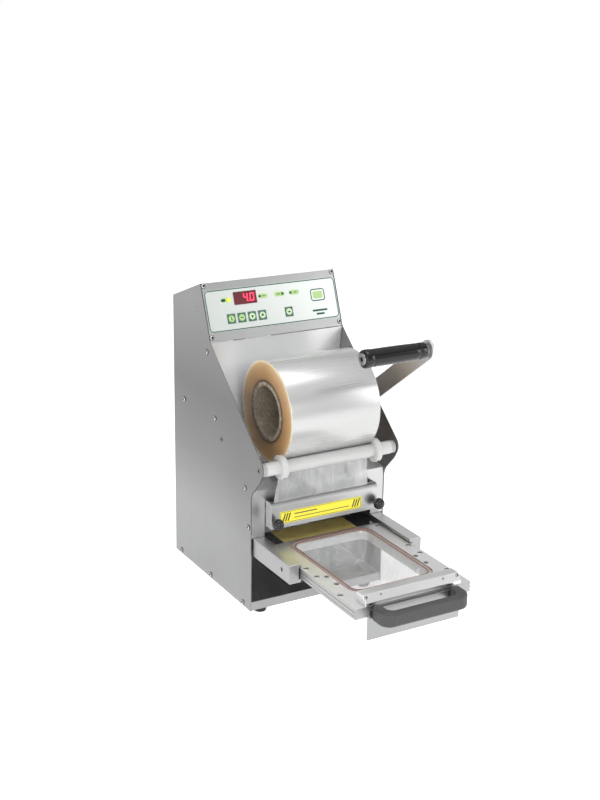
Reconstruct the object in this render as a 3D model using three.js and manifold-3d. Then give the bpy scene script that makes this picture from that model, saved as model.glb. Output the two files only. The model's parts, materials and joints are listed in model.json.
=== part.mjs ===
// Bench tray sealer: a sheet housing with a film roll, a heated head worked by a lever, and a drawer.
// Millimetres. X runs across the machine, +Y to the back, +Z up. While it is built, x = 0 is the middle,
// y = 0 the front edge of the side panels and z = 0 their bottom edge; the finished group is then moved
// so that its origin is the middle of its footprint, on the surface that the feet stand on.
import * as THREE from "three";
import { mergeVertices } from "three/addons/utils/BufferGeometryUtils.js";
import Module from "manifold-3d";

const wasm = await Module();
wasm.setup();

// ---------- driving dimensions ----------
const gap = 0.3; // between pieces that touch
const sheet = 1.5; // housing sheet
const bodyWidth = 230; // over the side panels
const bodyDepth = 259; // side panels, front edge to back edge
const fasciaTilt = THREE.MathUtils.degToRad(21.2); // control panel, from vertical
const fasciaLength = 89.4;
const fasciaFootDepth = 131.1;
const fasciaFootHeight = 380.2;
const noseDepth = 21.5; // centre of the panels' rounded nose, in front of the front edge
const noseHeight = 232.5;
const noseRadius = 14.5;

const rollerRadius = 10;
const frontRollerDepth = -23.5;
const frontRollerHeight = 230.4;
const rearRollerDepth = 94.1;
const rearRollerHeight = 241.4;
const journalRadius = 4;
const rollRadius = 75.5; // a full film roll
const filmWidth = 148;
const coreBore = 38; // radius: a 76 mm core
const coreWall = 5.7;
const collarRadius = 18;
const collarWidth = 9;
const filmThickness = 0.3;

const trayLength = 187; // over the rim, a standard 137 x 187 mm tray
const trayWidth = 137;
const trayDepth = 48;
const trayRim = 7;
const drawerTravel = 208;
const trayInset = -3.5; // the closed tray's front rim, behind the front edge
const drawerRearGap = 26; // from the closed drawer to the back wall
const headTravel = 22;

const railSpace = 2; // between a rail and its side panel
const railWidth = 20.1;
const railFloor = 88.3;
const railTop = 116.2;
const railFront = -108;
const railRearGap = 23;
const drawerTop = 109.8;
const drawerThickness = 15.2;

const shaftRadius = 8;
const bayWallDepth = 120; // the film bay's back wall
const rackRoom = 3.7; // between that wall and the racks
const rackBack = 8; // a rack's thickness behind its teeth
const shaftHeight = 212;
const leverReach = 313;
const leverAngle = THREE.MathUtils.degToRad(36.3); // above horizontal, at rest
const armWidth = 29;
const armThickness = 4;
const gripLength = 103;
const pinionTeeth = 26;
const pinionModule = 2;
const pinionWidth = 8;
const clearance = 0.3; // radial, for what turns or slides

// ---------- worked out from them ----------
const halfWidth = bodyWidth / 2;
const inner = halfWidth - sheet;
const fasciaTop = [
  fasciaFootDepth + fasciaLength * Math.sin(fasciaTilt),
  fasciaFootHeight + fasciaLength * Math.cos(fasciaTilt),
];
const rearHeight = fasciaTop[1] - (bodyDepth - fasciaTop[0]) * Math.tan(fasciaTilt);
const pitchRadius = (pinionTeeth * pinionModule) / 2;
const addendum = 0.9 * pinionModule;
const dedendum = 1.15 * pinionModule;
const rackDepth = bayWallDepth + rackRoom + rackBack + dedendum; // the racks' pitch line
const shaftDepth = rackDepth + pitchRadius;
const closedTrayCentre = trayLength / 2 + trayInset;
const openTrayCentre = closedTrayCentre - drawerTravel;
const railOutside = inner - railSpace; // half width over the rails
const railLip = railOutside - railWidth; // half width between the rails' lips
const railBack = bodyDepth - railRearGap;

// ---------- solids ----------
function toSolid(geometry) {
  const bare = geometry.index ? geometry.toNonIndexed() : geometry.clone();
  bare.deleteAttribute("normal");
  bare.deleteAttribute("uv");
  const merged = mergeVertices(bare, 1e-4);
  return new wasm.Manifold(
    new wasm.Mesh({
      numProp: 3,
      vertProperties: merged.attributes.position.array,
      triVerts: new Uint32Array(merged.index.array),
    }),
  );
}

function toGeometry(solid) {
  const mesh = solid.getMesh();
  const geometry = new THREE.BufferGeometry();
  geometry.setAttribute("position", new THREE.BufferAttribute(mesh.vertProperties, 3));
  geometry.setIndex(new THREE.BufferAttribute(mesh.triVerts, 1));
  const flat = geometry.toNonIndexed();
  flat.computeVertexNormals();
  return flat;
}

function join(...solids) {
  return solids.reduce((sum, next) => sum.add(next));
}

function cut(body, ...tools) {
  return tools.reduce((left, tool) => left.subtract(tool), body);
}

function block(x0, x1, y0, y1, z0, z1) {
  const box = new THREE.BoxGeometry(x1 - x0, y1 - y0, z1 - z0);
  box.translate((x0 + x1) / 2, (y0 + y1) / 2, (z0 + z1) / 2);
  return toSolid(box);
}

function shapeOf(points) {
  return new THREE.Shape(points.map(([a, b]) => new THREE.Vector2(a, b)));
}

const alongX = new THREE.Matrix4().makeBasis(
  new THREE.Vector3(0, 1, 0),
  new THREE.Vector3(0, 0, 1),
  new THREE.Vector3(1, 0, 0),
);
const alongY = new THREE.Matrix4().makeBasis(
  new THREE.Vector3(0, 0, 1),
  new THREE.Vector3(1, 0, 0),
  new THREE.Vector3(0, 1, 0),
);

// A shape drawn in (y, z), thick from x0 to x1.
function slabX(shape, x0, x1, curveSegments = 12) {
  const made = new THREE.ExtrudeGeometry(shape, {
    depth: x1 - x0,
    bevelEnabled: false,
    curveSegments,
  });
  made.applyMatrix4(alongX);
  made.translate(x0, 0, 0);
  return toSolid(made);
}

// A shape drawn in (x, y), thick from z0 to z1.
function slabZ(shape, z0, z1, curveSegments = 5) {
  const made = new THREE.ExtrudeGeometry(shape, {
    depth: z1 - z0,
    bevelEnabled: false,
    curveSegments,
  });
  made.translate(0, 0, z0);
  return toSolid(made);
}

function roundedRectangle(x0, x1, y0, y1, r) {
  const s = new THREE.Shape();
  s.moveTo(x0 + r, y0);
  s.lineTo(x1 - r, y0);
  s.absarc(x1 - r, y0 + r, r, -Math.PI / 2, 0);
  s.lineTo(x1, y1 - r);
  s.absarc(x1 - r, y1 - r, r, 0, Math.PI / 2);
  s.lineTo(x0 + r, y1);
  s.absarc(x0 + r, y1 - r, r, Math.PI / 2, Math.PI);
  s.lineTo(x0, y0 + r);
  s.absarc(x0 + r, y0 + r, r, Math.PI, 1.5 * Math.PI);
  return s;
}

function rodX(x0, x1, y, z, r, sides = 24) {
  const rod = new THREE.CylinderGeometry(r, r, x1 - x0, sides);
  rod.rotateZ(Math.PI / 2);
  rod.translate((x0 + x1) / 2, y, z);
  return toSolid(rod);
}

function rodY(y0, y1, x, z, r, sides = 20) {
  const rod = new THREE.CylinderGeometry(r, r, y1 - y0, sides);
  rod.translate(x, (y0 + y1) / 2, z);
  return toSolid(rod);
}

function rodZ(z0, z1, x, y, r, sides = 24) {
  const rod = new THREE.CylinderGeometry(r, r, z1 - z0, sides);
  rod.rotateX(Math.PI / 2);
  rod.translate(x, y, (z0 + z1) / 2);
  return toSolid(rod);
}

// A profile of [radius, station] pairs turned about the X axis through (y, z).
function turnedX(profile, y, z, sides = 32) {
  const made = new THREE.LatheGeometry(
    profile.map(([r, x]) => new THREE.Vector2(r, x)),
    sides,
  );
  made.rotateZ(-Math.PI / 2);
  made.translate(0, y, z);
  let solid = toSolid(made);
  if (solid.volume() < 0) {
    const turned = new THREE.LatheGeometry(
      [...profile].reverse().map(([r, x]) => new THREE.Vector2(r, x)),
      sides,
    );
    turned.rotateZ(-Math.PI / 2);
    turned.translate(0, y, z);
    solid = toSolid(turned);
  }
  return solid;
}

// ---------- the group ----------
const machine = new THREE.Group();

const finishes = {
  stainless: [0xb9bcbe, 0.35, 0.9],
  aluminium: [0xc9ccce, 0.4, 0.85],
  steel: [0x9a9c9e, 0.3, 0.95],
  overlay: [0xe9eeea, 0.5, 0],
  darkWindow: [0x3a0a0d, 0.1, 0],
  greenKey: [0x2f6b3a, 0.5, 0],
  film: [0xb88a55, 0.2, 0],
  clearFilm: [0xd8dcde, 0.1, 0],
  card: [0x8c7a66, 0.9, 0],
  whitePlastic: [0xe8e8e6, 0.35, 0],
  blackPlastic: [0x111112, 0.2, 0],
  greyPlastic: [0x55585a, 0.5, 0],
  rubber: [0x1a1a1a, 0.9, 0],
  silicone: [0x8a3a2c, 0.7, 0],
  clearPlastic: [0xdde2e4, 0.1, 0],
  blackDeck: [0x16181a, 0.12, 0.2],
  board: [0x1f5a34, 0.6, 0],
  spring: [0x6d6f71, 0.4, 0.9],
};

function add(name, solid, finish) {
  const [color, roughness, metalness] = finishes[finish];
  const material = new THREE.MeshStandardMaterial({ color, roughness, metalness });
  const mesh = new THREE.Mesh(toGeometry(solid), material);
  mesh.name = name;
  machine.add(mesh);
}

const sides = [
  ["left", -1],
  ["right", 1],
];

// The span from a to b, both measured outwards from the middle, on one side of the machine.
function spanOn(side, a, b) {
  return side > 0 ? [a, b] : [-b, -a];
}

// ---------- housing ----------
function sidePanelShape() {
  const s = new THREE.Shape();
  const slope = new THREE.Vector2(
    fasciaFootDepth + noseDepth,
    fasciaFootHeight - noseHeight,
  );
  // Upper tangent from the fascia's foot to the nose circle.
  const reach = slope.length();
  const tangent = Math.atan2(slope.y, slope.x) + Math.acos(noseRadius / reach);
  const neckTop = 174.8;
  const neckRadius = 25;
  s.moveTo(0, 0);
  s.lineTo(bodyDepth, 0);
  s.lineTo(bodyDepth, rearHeight);
  s.lineTo(fasciaTop[0], fasciaTop[1]);
  s.lineTo(fasciaFootDepth, fasciaFootHeight);
  s.absarc(-noseDepth, noseHeight, noseRadius, tangent, THREE.MathUtils.degToRad(205));
  s.lineTo(-noseDepth - 5.5, noseHeight - 18.9);
  s.lineTo(-6.7, neckTop + 17.1);
  s.absarc(-neckRadius, neckTop, neckRadius, THREE.MathUtils.degToRad(43), 0, true);
  return s;
}

function hinges(x0, x1) {
  return [
    rodX(x0, x1, frontRollerDepth, frontRollerHeight, journalRadius + clearance),
    rodX(x0, x1, rearRollerDepth, rearRollerHeight, journalRadius + clearance),
  ];
}

for (const [word, side] of sides) {
  const [x0, x1] = spanOn(side, inner, halfWidth);
  let panel = cut(slabX(sidePanelShape(), x0, x1), ...hinges(x0 - 1, x1 + 1));
  if (side > 0) {
    panel = cut(panel, rodX(x0 - 1, x1 + 1, shaftDepth, shaftHeight, shaftRadius + clearance));
  }
  add(word + "_side_panel", panel, "stainless");
}

const trayLip = 14; // height of the base tray's edges
const wallIn = inner - gap;
const baseTray = cut(
  block(-wallIn, wallIn, 0.4, bodyDepth - sheet - 2 * gap, 0.3, trayLip),
  block(
    -wallIn + sheet,
    wallIn - sheet,
    0.4 + sheet,
    bodyDepth - 2 * sheet - 2 * gap,
    0.3 + sheet,
    trayLip + 1,
  ),
);
add("base_tray", baseTray, "stainless");

// The rear cover is one sheet: the back wall and the top, bent along the rear edge.
const inletWidth = 28;
const inletHeight = 21;
const inletX = 70;
const inletZ = 48;
function coverShape() {
  const back = sheet + gap; // the fascia's own thickness and a gap, along the slope of the top
  const top = [
    fasciaTop[0] + back * Math.cos(fasciaTilt),
    fasciaTop[1] - back * Math.sin(fasciaTilt),
  ];
  const drop = sheet / Math.cos(fasciaTilt);
  return shapeOf([
    [bodyDepth - sheet, 0.3],
    [bodyDepth, 0.3],
    [bodyDepth, rearHeight],
    [top[0], top[1]],
    [top[0] - sheet * Math.sin(fasciaTilt), top[1] - sheet * Math.cos(fasciaTilt)],
    [bodyDepth - sheet, rearHeight + sheet * Math.tan(fasciaTilt) - drop],
  ]);
}
const vents = [];
const ventLength = 46;
const ventPitch = 9;
for (let row = 0; row < 8; row += 1) {
  const z = rearHeight - 150 + row * ventPitch;
  for (const x of [-34, 34]) {
    vents.push(
      block(x - ventLength / 2, x + ventLength / 2, bodyDepth - 4, bodyDepth + 4, z, z + 3),
    );
  }
}
add(
  "rear_cover",
  cut(
    slabX(coverShape(), -wallIn, wallIn),
    block(
      inletX - inletWidth / 2,
      inletX + inletWidth / 2,
      bodyDepth - 5,
      bodyDepth + 5,
      inletZ - inletHeight / 2,
      inletZ + inletHeight / 2,
    ),
    ...vents,
  ),
  "stainless",
);

// The fascia and what is on it are built in its own plane, (x, up the slope, out of the face).
const fasciaFrame = new THREE.Matrix4().makeBasis(
  new THREE.Vector3(1, 0, 0),
  new THREE.Vector3(0, Math.sin(fasciaTilt), Math.cos(fasciaTilt)),
  new THREE.Vector3(0, -Math.cos(fasciaTilt), Math.sin(fasciaTilt)),
);
fasciaFrame.setPosition(0, fasciaFootDepth, fasciaFootHeight);

function onFascia(shape, low, high, segments = 4) {
  const made = new THREE.ExtrudeGeometry(shape, {
    depth: high - low,
    bevelEnabled: false,
    curveSegments: segments,
  });
  made.translate(0, 0, low);
  made.applyMatrix4(fasciaFrame);
  return toSolid(made);
}

function fasciaBlock(x0, x1, v0, v1, low, high) {
  return onFascia(shapeOf([[x0, v0], [x1, v0], [x1, v1], [x0, v1]]), low, high);
}

const overlayMargin = 1.2;
const overlayHalf = inner - overlayMargin;
const overlayLow = 14;
const overlayHigh = 77.5;
const overlayThickness = 0.7;
const displayBox = [-64.5, -26.3, 51.8, 71];
const displayFrame = 3; // the window laps over the fascia this much
const keyWidth = 13.2;
const keyHeight = 14.2;
const keyPitch = 17.5;
const keyRow = 32;
const firstKey = -73.5;
const keyCentres = [0, 1, 2, 3].map((n) => firstKey + n * keyPitch);
keyCentres.push(25);
const keyTravel = 0.5;
const keyProud = 0.6; // a key's face above the overlay at rest
const hole = (x, grow) => [
  x - keyWidth / 2 - grow,
  x + keyWidth / 2 + grow,
  keyRow - keyHeight / 2 - grow,
  keyRow + keyHeight / 2 + grow,
];

const fasciaCuts = keyCentres.map((x) => fasciaBlock(...hole(x, clearance), -5, 5));
fasciaCuts.push(
  fasciaBlock(
    displayBox[0] + displayFrame,
    displayBox[1] - displayFrame,
    displayBox[2] + displayFrame,
    displayBox[3] - displayFrame,
    -5,
    5,
  ),
);
add(
  "control_fascia",
  cut(fasciaBlock(-wallIn, wallIn, gap, fasciaLength, -sheet, 0), ...fasciaCuts),
  "stainless",
);
const overlayCuts = keyCentres.map((x) => fasciaBlock(...hole(x, clearance), -1, 5));
overlayCuts.push(
  fasciaBlock(
    displayBox[0] - gap,
    displayBox[1] + gap,
    displayBox[2] - gap,
    displayBox[3] + gap,
    -1,
    5,
  ),
);
const skinLow = 0.1;
add(
  "control_overlay",
  cut(
    onFascia(
      roundedRectangle(-overlayHalf, overlayHalf, overlayLow, overlayHigh, 5),
      skinLow,
      overlayThickness,
    ),
    ...overlayCuts,
  ),
  "overlay",
);
add(
  "display_window",
  onFascia(roundedRectangle(...displayBox, 1.2), skinLow, overlayThickness + 0.5),
  "darkWindow",
);
keyCentres.forEach((x, n) => {
  const [x0, x1, v0, v1] = hole(x, 0);
  add(
    "key_" + (n + 1),
    onFascia(roundedRectangle(x0, x1, v0, v1, 1), -sheet - 1, overlayThickness + keyProud),
    "greenKey",
  );
});
const boardTop = -sheet - 1 - keyTravel - gap;
const boardThickness = 1.6;
const boardMargin = 10;
const connectorHeight = 10.4;
add(
  "control_board",
  join(
    fasciaBlock(
      keyCentres[0] - boardMargin,
      keyCentres[4] + boardMargin,
      keyRow - 2 * boardMargin,
      displayBox[3] + boardMargin / 2,
      boardTop - boardThickness,
      boardTop,
    ),
    fasciaBlock(
      displayBox[0] + displayFrame,
      displayBox[1] - displayFrame,
      displayBox[2] + displayFrame,
      displayBox[3] - displayFrame,
      boardTop - 0.1,
      -sheet - gap,
    ),
    fasciaBlock(
      keyCentres[0],
      keyCentres[2],
      keyRow - 2 * boardMargin + 2,
      keyRow - boardMargin / 2,
      boardTop - boardThickness - connectorHeight,
      boardTop - boardThickness + 0.1,
    ),
  ),
  "board",
);

// ---------- film bay ----------
const frontPanelTop = 190;
const frontPanelFoot = 116.6;
const coverHalf = filmWidth / 2 + 16.9;
const notchHalf = coverHalf + 0.7;
const notchTop = 168;
add(
  "front_panel",
  cut(
    block(-wallIn, wallIn, gap, gap + sheet, frontPanelFoot, frontPanelTop),
    block(-notchHalf, notchHalf, -3, 5, frontPanelFoot - 5, notchTop),
  ),
  "stainless",
);

const bayFloorBack = 205;
const floorFront = gap + sheet + gap;
function bayShape() {
  const front = [
    [floorFront, frontPanelTop],
    [bayWallDepth, bayFloorBack],
    [bayWallDepth, 268],
    [136, 344],
    [fasciaFootDepth, fasciaFootHeight - 2 * gap],
  ];
  const t = 1.2;
  return shapeOf([
    front[0],
    [front[1][0] - t, front[1][1] + t],
    [front[2][0] - t, front[2][1]],
    [front[3][0] - t, front[3][1]],
    [front[4][0] - t, front[4][1]],
    [front[4][0], front[4][1]],
    [front[3][0], front[3][1]],
    [front[2][0], front[2][1]],
    [front[1][0], front[1][1]],
    [floorFront, frontPanelTop - t],
  ]);
}
add("bay_back_plate", slabX(bayShape(), -wallIn, wallIn), "stainless");

// A film roll rests on the two rollers: its centre is where both distances are right.
function restingCentre() {
  const reach = rollRadius + rollerRadius + gap;
  const dy = rearRollerDepth - frontRollerDepth;
  const dz = rearRollerHeight - frontRollerHeight;
  const span = Math.hypot(dy, dz);
  const rise = Math.sqrt(reach * reach - (span * span) / 4);
  return [
    (frontRollerDepth + rearRollerDepth) / 2 - (rise * dz) / span,
    (frontRollerHeight + rearRollerHeight) / 2 + (rise * dy) / span,
  ];
}
const [rollDepth, rollHeight] = restingCentre();

function roller(y, z) {
  const shoulder = inner - 0.7;
  const tip = halfWidth + 0.6;
  return turnedX(
    [
      [0, -tip],
      [journalRadius, -tip],
      [journalRadius, -shoulder],
      [rollerRadius, -shoulder],
      [rollerRadius, shoulder],
      [journalRadius, shoulder],
      [journalRadius, tip],
      [0, tip],
    ],
    y,
    z,
    28,
  );
}
add("front_roller", roller(frontRollerDepth, frontRollerHeight), "whitePlastic");
add("rear_roller", roller(rearRollerDepth, rearRollerHeight), "whitePlastic");

const collarInside = filmWidth / 2 + 0.8;
for (const [word, side] of sides) {
  const [x0, x1] = spanOn(side, collarInside, collarInside + collarWidth);
  add(
    "roller_collar_" + word,
    turnedX(
      [
        [rollerRadius + gap, x0],
        [collarRadius - 1, x0],
        [collarRadius, x0 + 1],
        [collarRadius, x1 - 1],
        [collarRadius - 1, x1],
        [rollerRadius + gap, x1],
        [rollerRadius + gap, x0],
      ],
      frontRollerDepth,
      frontRollerHeight,
      28,
    ),
    "whitePlastic",
  );
}

function ring(inside, outside, half, sideCount) {
  return turnedX(
    [
      [inside, -half],
      [outside, -half],
      [outside, half],
      [inside, half],
      [inside, -half],
    ],
    rollDepth,
    rollHeight,
    sideCount,
  );
}
const coreRadius = coreBore + coreWall;
add("film_roll", ring(coreRadius + gap, rollRadius, filmWidth / 2, 60), "film");
add("roll_core", ring(coreBore, coreRadius, filmWidth / 2 + 0.5, 40), "card");

// The film leaves the nip, passes round the back of the front roller and drops into the head's slit.
const headSlit = -8;
const webFoot = 138;
const webHalf = filmWidth / 2 - 0.8;
function webShape() {
  const near = rollerRadius + 0.4;
  const far = near + filmThickness;
  const nip = Math.atan2(rollHeight - frontRollerHeight, rollDepth - frontRollerDepth);
  const start = nip - 0.42;
  const end = THREE.MathUtils.degToRad(-6);
  const steps = 7;
  const at = (r, a) => [
    frontRollerDepth + r * Math.cos(a),
    frontRollerHeight + r * Math.sin(a),
  ];
  const angles = [...Array(steps + 1).keys()].map((n) => start + ((end - start) * n) / steps);
  const slitTop = 176;
  return shapeOf([
    ...angles.map((a) => at(near, a)),
    [headSlit, slitTop],
    [headSlit, webFoot],
    [headSlit + filmThickness, webFoot],
    [headSlit + filmThickness, slitTop],
    ...angles.reverse().map((a) => at(far, a)),
  ]);
}
add("film_web", slabX(webShape(), -webHalf, webHalf), "clearFilm");

// ---------- head ----------
const headLow = 133;
const plateHalfX = trayWidth / 2 + 2.5;
const dieHalfY = trayLength / 2 + 1;
const dieBack = closedTrayCentre + dieHalfY;
const dieFront = closedTrayCentre - dieHalfY;
const carriageLow = 152;
const carriageHigh = 158;
const columnX = railOutside - railWidth / 2; // the columns stand on the rails
const carriageHalf = columnX + 8;
const columnY = closedTrayCentre;
const columnRadius = 5;
const pinX = coverHalf - 4.4;
const pinZ = 145.4;
const pinRadius = 2.2;
const coverFront = -18.9;
const coverTop = 173.5;
const armInside = coverHalf - 12.4;
const armOutside = coverHalf - sheet - gap;

add(
  "heater_plate",
  block(-plateHalfX, plateHalfX, dieFront + 4, dieBack - 4, headLow, carriageLow - gap),
  "aluminium",
);
const knifeGap = 1;
const knifeWall = 1.5;
const knifeHalf = plateHalfX + knifeGap + knifeWall;
const knifeTop = carriageLow - gap;
const lugBack = 11;
const lugFront = 5;
let knife = cut(
  block(
    -knifeHalf,
    knifeHalf,
    dieFront + 4 - knifeGap - knifeWall,
    dieBack - 4 + knifeGap + knifeWall,
    headLow,
    knifeTop,
  ),
  block(
    -plateHalfX - knifeGap,
    plateHalfX + knifeGap,
    dieFront + 4 - knifeGap,
    dieBack - 4 + knifeGap,
    headLow - 1,
    knifeTop + 1,
  ),
);
for (const [, side] of sides) {
  const [x0, x1] = spanOn(side, knifeHalf - 0.5, pinX + 5);
  knife = cut(
    join(knife, block(x0, x1, lugFront, lugBack, pinZ - 6, knifeTop)),
    rodY(lugFront - 1, lugBack + 1, side * pinX, pinZ, pinRadius + clearance, 16),
  );
}
add("knife_frame", knife, "steel");

let carriage = block(
  -carriageHalf,
  carriageHalf,
  gap + sheet + 2,
  dieBack,
  carriageLow,
  carriageHigh,
);
for (const [, side] of sides) {
  const [x0, x1] = spanOn(side, armInside, armOutside);
  const armBack = gap + sheet + 2.5;
  carriage = join(
    carriage,
    block(x0, x1, coverFront + sheet + gap, armBack, pinZ - 7, carriageHigh),
  );
  carriage = cut(
    carriage,
    rodZ(carriageLow - 1, carriageHigh + 1, side * columnX, columnY, columnRadius + clearance),
    rodY(coverFront - 1, armBack + 1, side * pinX, pinZ, pinRadius + clearance, 16),
  );
}
add("head_carriage", carriage, "aluminium");

// The head's front cover: an open-backed box with a rounded top front edge and a slit for the film.
function coverProfile(inset, back) {
  const s = new THREE.Shape();
  const r = 7 - inset;
  const front = coverFront + inset;
  const top = coverTop - inset;
  const low = headLow + inset;
  s.moveTo(front, low);
  s.lineTo(back, low);
  s.lineTo(back, top);
  s.lineTo(front + r, top);
  s.absarc(front + r, top - r, r, Math.PI / 2, Math.PI);
  return s;
}
const coverBack = headSlit - 0.9;
const coverSideBack = -0.6;
const coverShell = cut(
  join(
    slabX(coverProfile(0, coverBack), -coverHalf, coverHalf),
    slabX(coverProfile(0, coverSideBack), -coverHalf, -coverHalf + sheet),
    slabX(coverProfile(0, coverSideBack), coverHalf - sheet, coverHalf),
  ),
  slabX(coverProfile(sheet, 5), -coverHalf + sheet, coverHalf - sheet),
  rodY(coverFront - 2, coverFront + 4, -pinX, pinZ, pinRadius + clearance, 16),
  rodY(coverFront - 2, coverFront + 4, pinX, pinZ, pinRadius + clearance, 16),
);
add("head_cover", coverShell, "stainless");

const ballRadius = 8.7;
const ballCentre = -31;
for (const [word, side] of sides) {
  add(
    "pull_pin_" + word,
    rodY(ballCentre + 6.6, lugBack - 0.5, side * pinX, pinZ, pinRadius, 16),
    "steel",
  );
  const flatAt = Math.sqrt(ballRadius * ballRadius - 36);
  const profile = [[0, -ballRadius]];
  const steps = 9;
  const last = Math.acos(-flatAt / ballRadius);
  for (let n = 1; n <= steps; n += 1) {
    const a = (last * n) / steps;
    profile.push([ballRadius * Math.sin(a), -ballRadius * Math.cos(a)]);
  }
  profile.push([0, flatAt]);
  const ball = new THREE.LatheGeometry(
    profile.map(([r, h]) => new THREE.Vector2(r, h)),
    20,
  );
  ball.translate(side * pinX, ballCentre, pinZ);
  add("pull_knob_" + word, toSolid(ball), "blackPlastic");
}

// Racks stand on the carriage, behind the bay, with their teeth to the back, in mesh with the pinions.
const pinionX = 84;
const pressure = THREE.MathUtils.degToRad(20);
const backlash = 0.22;
const rackLow = carriageHigh + gap;
const toothReach = 14; // the teeth run this far below the shaft and, at rest, above it past the travel
const rackHigh = shaftHeight + headTravel + toothReach;
function rackShape() {
  const pitch = Math.PI * pinionModule;
  const thick = pitch / 2 - backlash;
  const points = [[rackDepth - dedendum - rackBack, rackLow]];
  points.push([rackDepth - dedendum, rackLow]);
  const first = Math.ceil(-toothReach / pitch);
  const last = Math.floor((rackHigh - 3 - shaftHeight) / pitch);
  for (let n = first; n <= last; n += 1) {
    const z = shaftHeight + n * pitch;
    const foot = thick / 2 + dedendum * Math.tan(pressure);
    const tip = thick / 2 - addendum * Math.tan(pressure);
    points.push([rackDepth - dedendum, z - foot]);
    points.push([rackDepth + addendum, z - tip]);
    points.push([rackDepth + addendum, z + tip]);
    points.push([rackDepth - dedendum, z + foot]);
  }
  points.push([rackDepth - dedendum, rackHigh]);
  points.push([rackDepth - dedendum - rackBack, rackHigh]);
  return shapeOf(points);
}
for (const [word, side] of sides) {
  const [x0, x1] = spanOn(side, pinionX - pinionWidth / 2, pinionX + pinionWidth / 2);
  add("rack_" + word, slabX(rackShape(), x0, x1), "steel");
}

// An involute spur gear with a tooth gap facing the rack's tooth at the height of the shaft.
function pinionShape() {
  const s = [];
  const base = pitchRadius * Math.cos(pressure);
  const tip = pitchRadius + addendum;
  const root = pitchRadius - dedendum;
  const involute = (r) => {
    const a = Math.acos(Math.min(1, base / r));
    return Math.tan(a) - a;
  };
  const halfTooth = Math.PI / (2 * pinionTeeth) - backlash / (2 * pitchRadius);
  const flank = (r) => halfTooth + involute(pitchRadius) - involute(Math.max(r, base));
  const radii = [root, pitchRadius, tip];
  for (let n = 0; n < pinionTeeth; n += 1) {
    const middle = Math.PI + ((n + 0.5) * 2 * Math.PI) / pinionTeeth;
    for (const r of radii) {
      s.push([middle - flank(r), r]);
    }
    for (const r of [...radii].reverse()) {
      s.push([middle + flank(r), r]);
    }
  }
  return s.map(([a, r]) => [shaftDepth + r * Math.cos(a), shaftHeight + r * Math.sin(a)]);
}
for (const [word, side] of sides) {
  const [x0, x1] = spanOn(side, pinionX - pinionWidth / 2, pinionX + pinionWidth / 2);
  add(
    "pinion_" + word,
    cut(
      slabX(shapeOf(pinionShape()), x0, x1),
      rodX(x0 - 1, x1 + 1, shaftDepth, shaftHeight, shaftRadius + gap),
    ),
    "steel",
  );
}

const springRadius = 7.4;
for (const [word, side] of sides) {
  add(
    "guide_column_" + word,
    rodZ(railTop + gap, 197, side * columnX, columnY, columnRadius),
    "steel",
  );
  add(
    "return_spring_" + word,
    cut(
      rodZ(railTop + gap, carriageLow - gap, side * columnX, columnY, springRadius, 20),
      rodZ(railTop - 1, carriageLow + 1, side * columnX, columnY, columnRadius + 0.5, 20),
    ),
    "spring",
  );
}

// ---------- lever ----------
const plateReach = 26;
for (const [word, side] of sides) {
  const [x0, x1] = spanOn(side, inner - 3 - gap, inner - gap);
  const [b0, b1] = spanOn(side, inner - 13, inner - 2);
  const plate = shapeOf([
    [bayWallDepth + 6, shaftHeight + 62],
    [bayWallDepth + 6, shaftHeight + 30],
    [shaftDepth - plateReach / 2 - 4, shaftHeight - 14],
    [shaftDepth + plateReach / 2 + 4, shaftHeight - 14],
    [shaftDepth + 70, shaftHeight + 44],
    [shaftDepth + 70, shaftHeight + 62],
  ]);
  add(
    "bearing_plate_" + word,
    cut(
      join(slabX(plate, x0, x1), rodX(b0, b1, shaftDepth, shaftHeight, 13)),
      rodX(b0 - 5, b1 + 5, shaftDepth, shaftHeight, shaftRadius + clearance),
    ),
    "steel",
  );
}

const armInner = halfWidth + 3;
const armOuter = armInner + armThickness;
const neckRadius = 6;
add(
  "lever_shaft",
  turnedX(
    [
      [0, -inner + 1],
      [shaftRadius, -inner + 1],
      [shaftRadius, armInner - gap],
      [neckRadius, armInner - gap],
      [neckRadius, armOuter + 1.5],
      [0, armOuter + 1.5],
    ],
    shaftDepth,
    shaftHeight,
    24,
  ),
  "steel",
);

const gripDepth = shaftDepth - leverReach * Math.cos(leverAngle);
const gripHeight = shaftHeight + leverReach * Math.sin(leverAngle);
const boltRadius = 4;
function armShape() {
  const s = new THREE.Shape();
  const r = armWidth / 2;
  const turn = Math.PI - leverAngle;
  s.absarc(gripDepth, gripHeight, r, turn - Math.PI / 2, turn + Math.PI / 2, false);
  s.absarc(shaftDepth, shaftHeight, r, turn + Math.PI / 2, turn + 1.5 * Math.PI, false);
  return s;
}
add(
  "lever_arm",
  cut(
    slabX(armShape(), armInner, armOuter, 12),
    rodX(armInner - 1, armOuter + 1, shaftDepth, shaftHeight, neckRadius + gap),
    rodX(armInner - 1, armOuter + 1, gripDepth, gripHeight, boltRadius + gap),
  ),
  "stainless",
);

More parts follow.
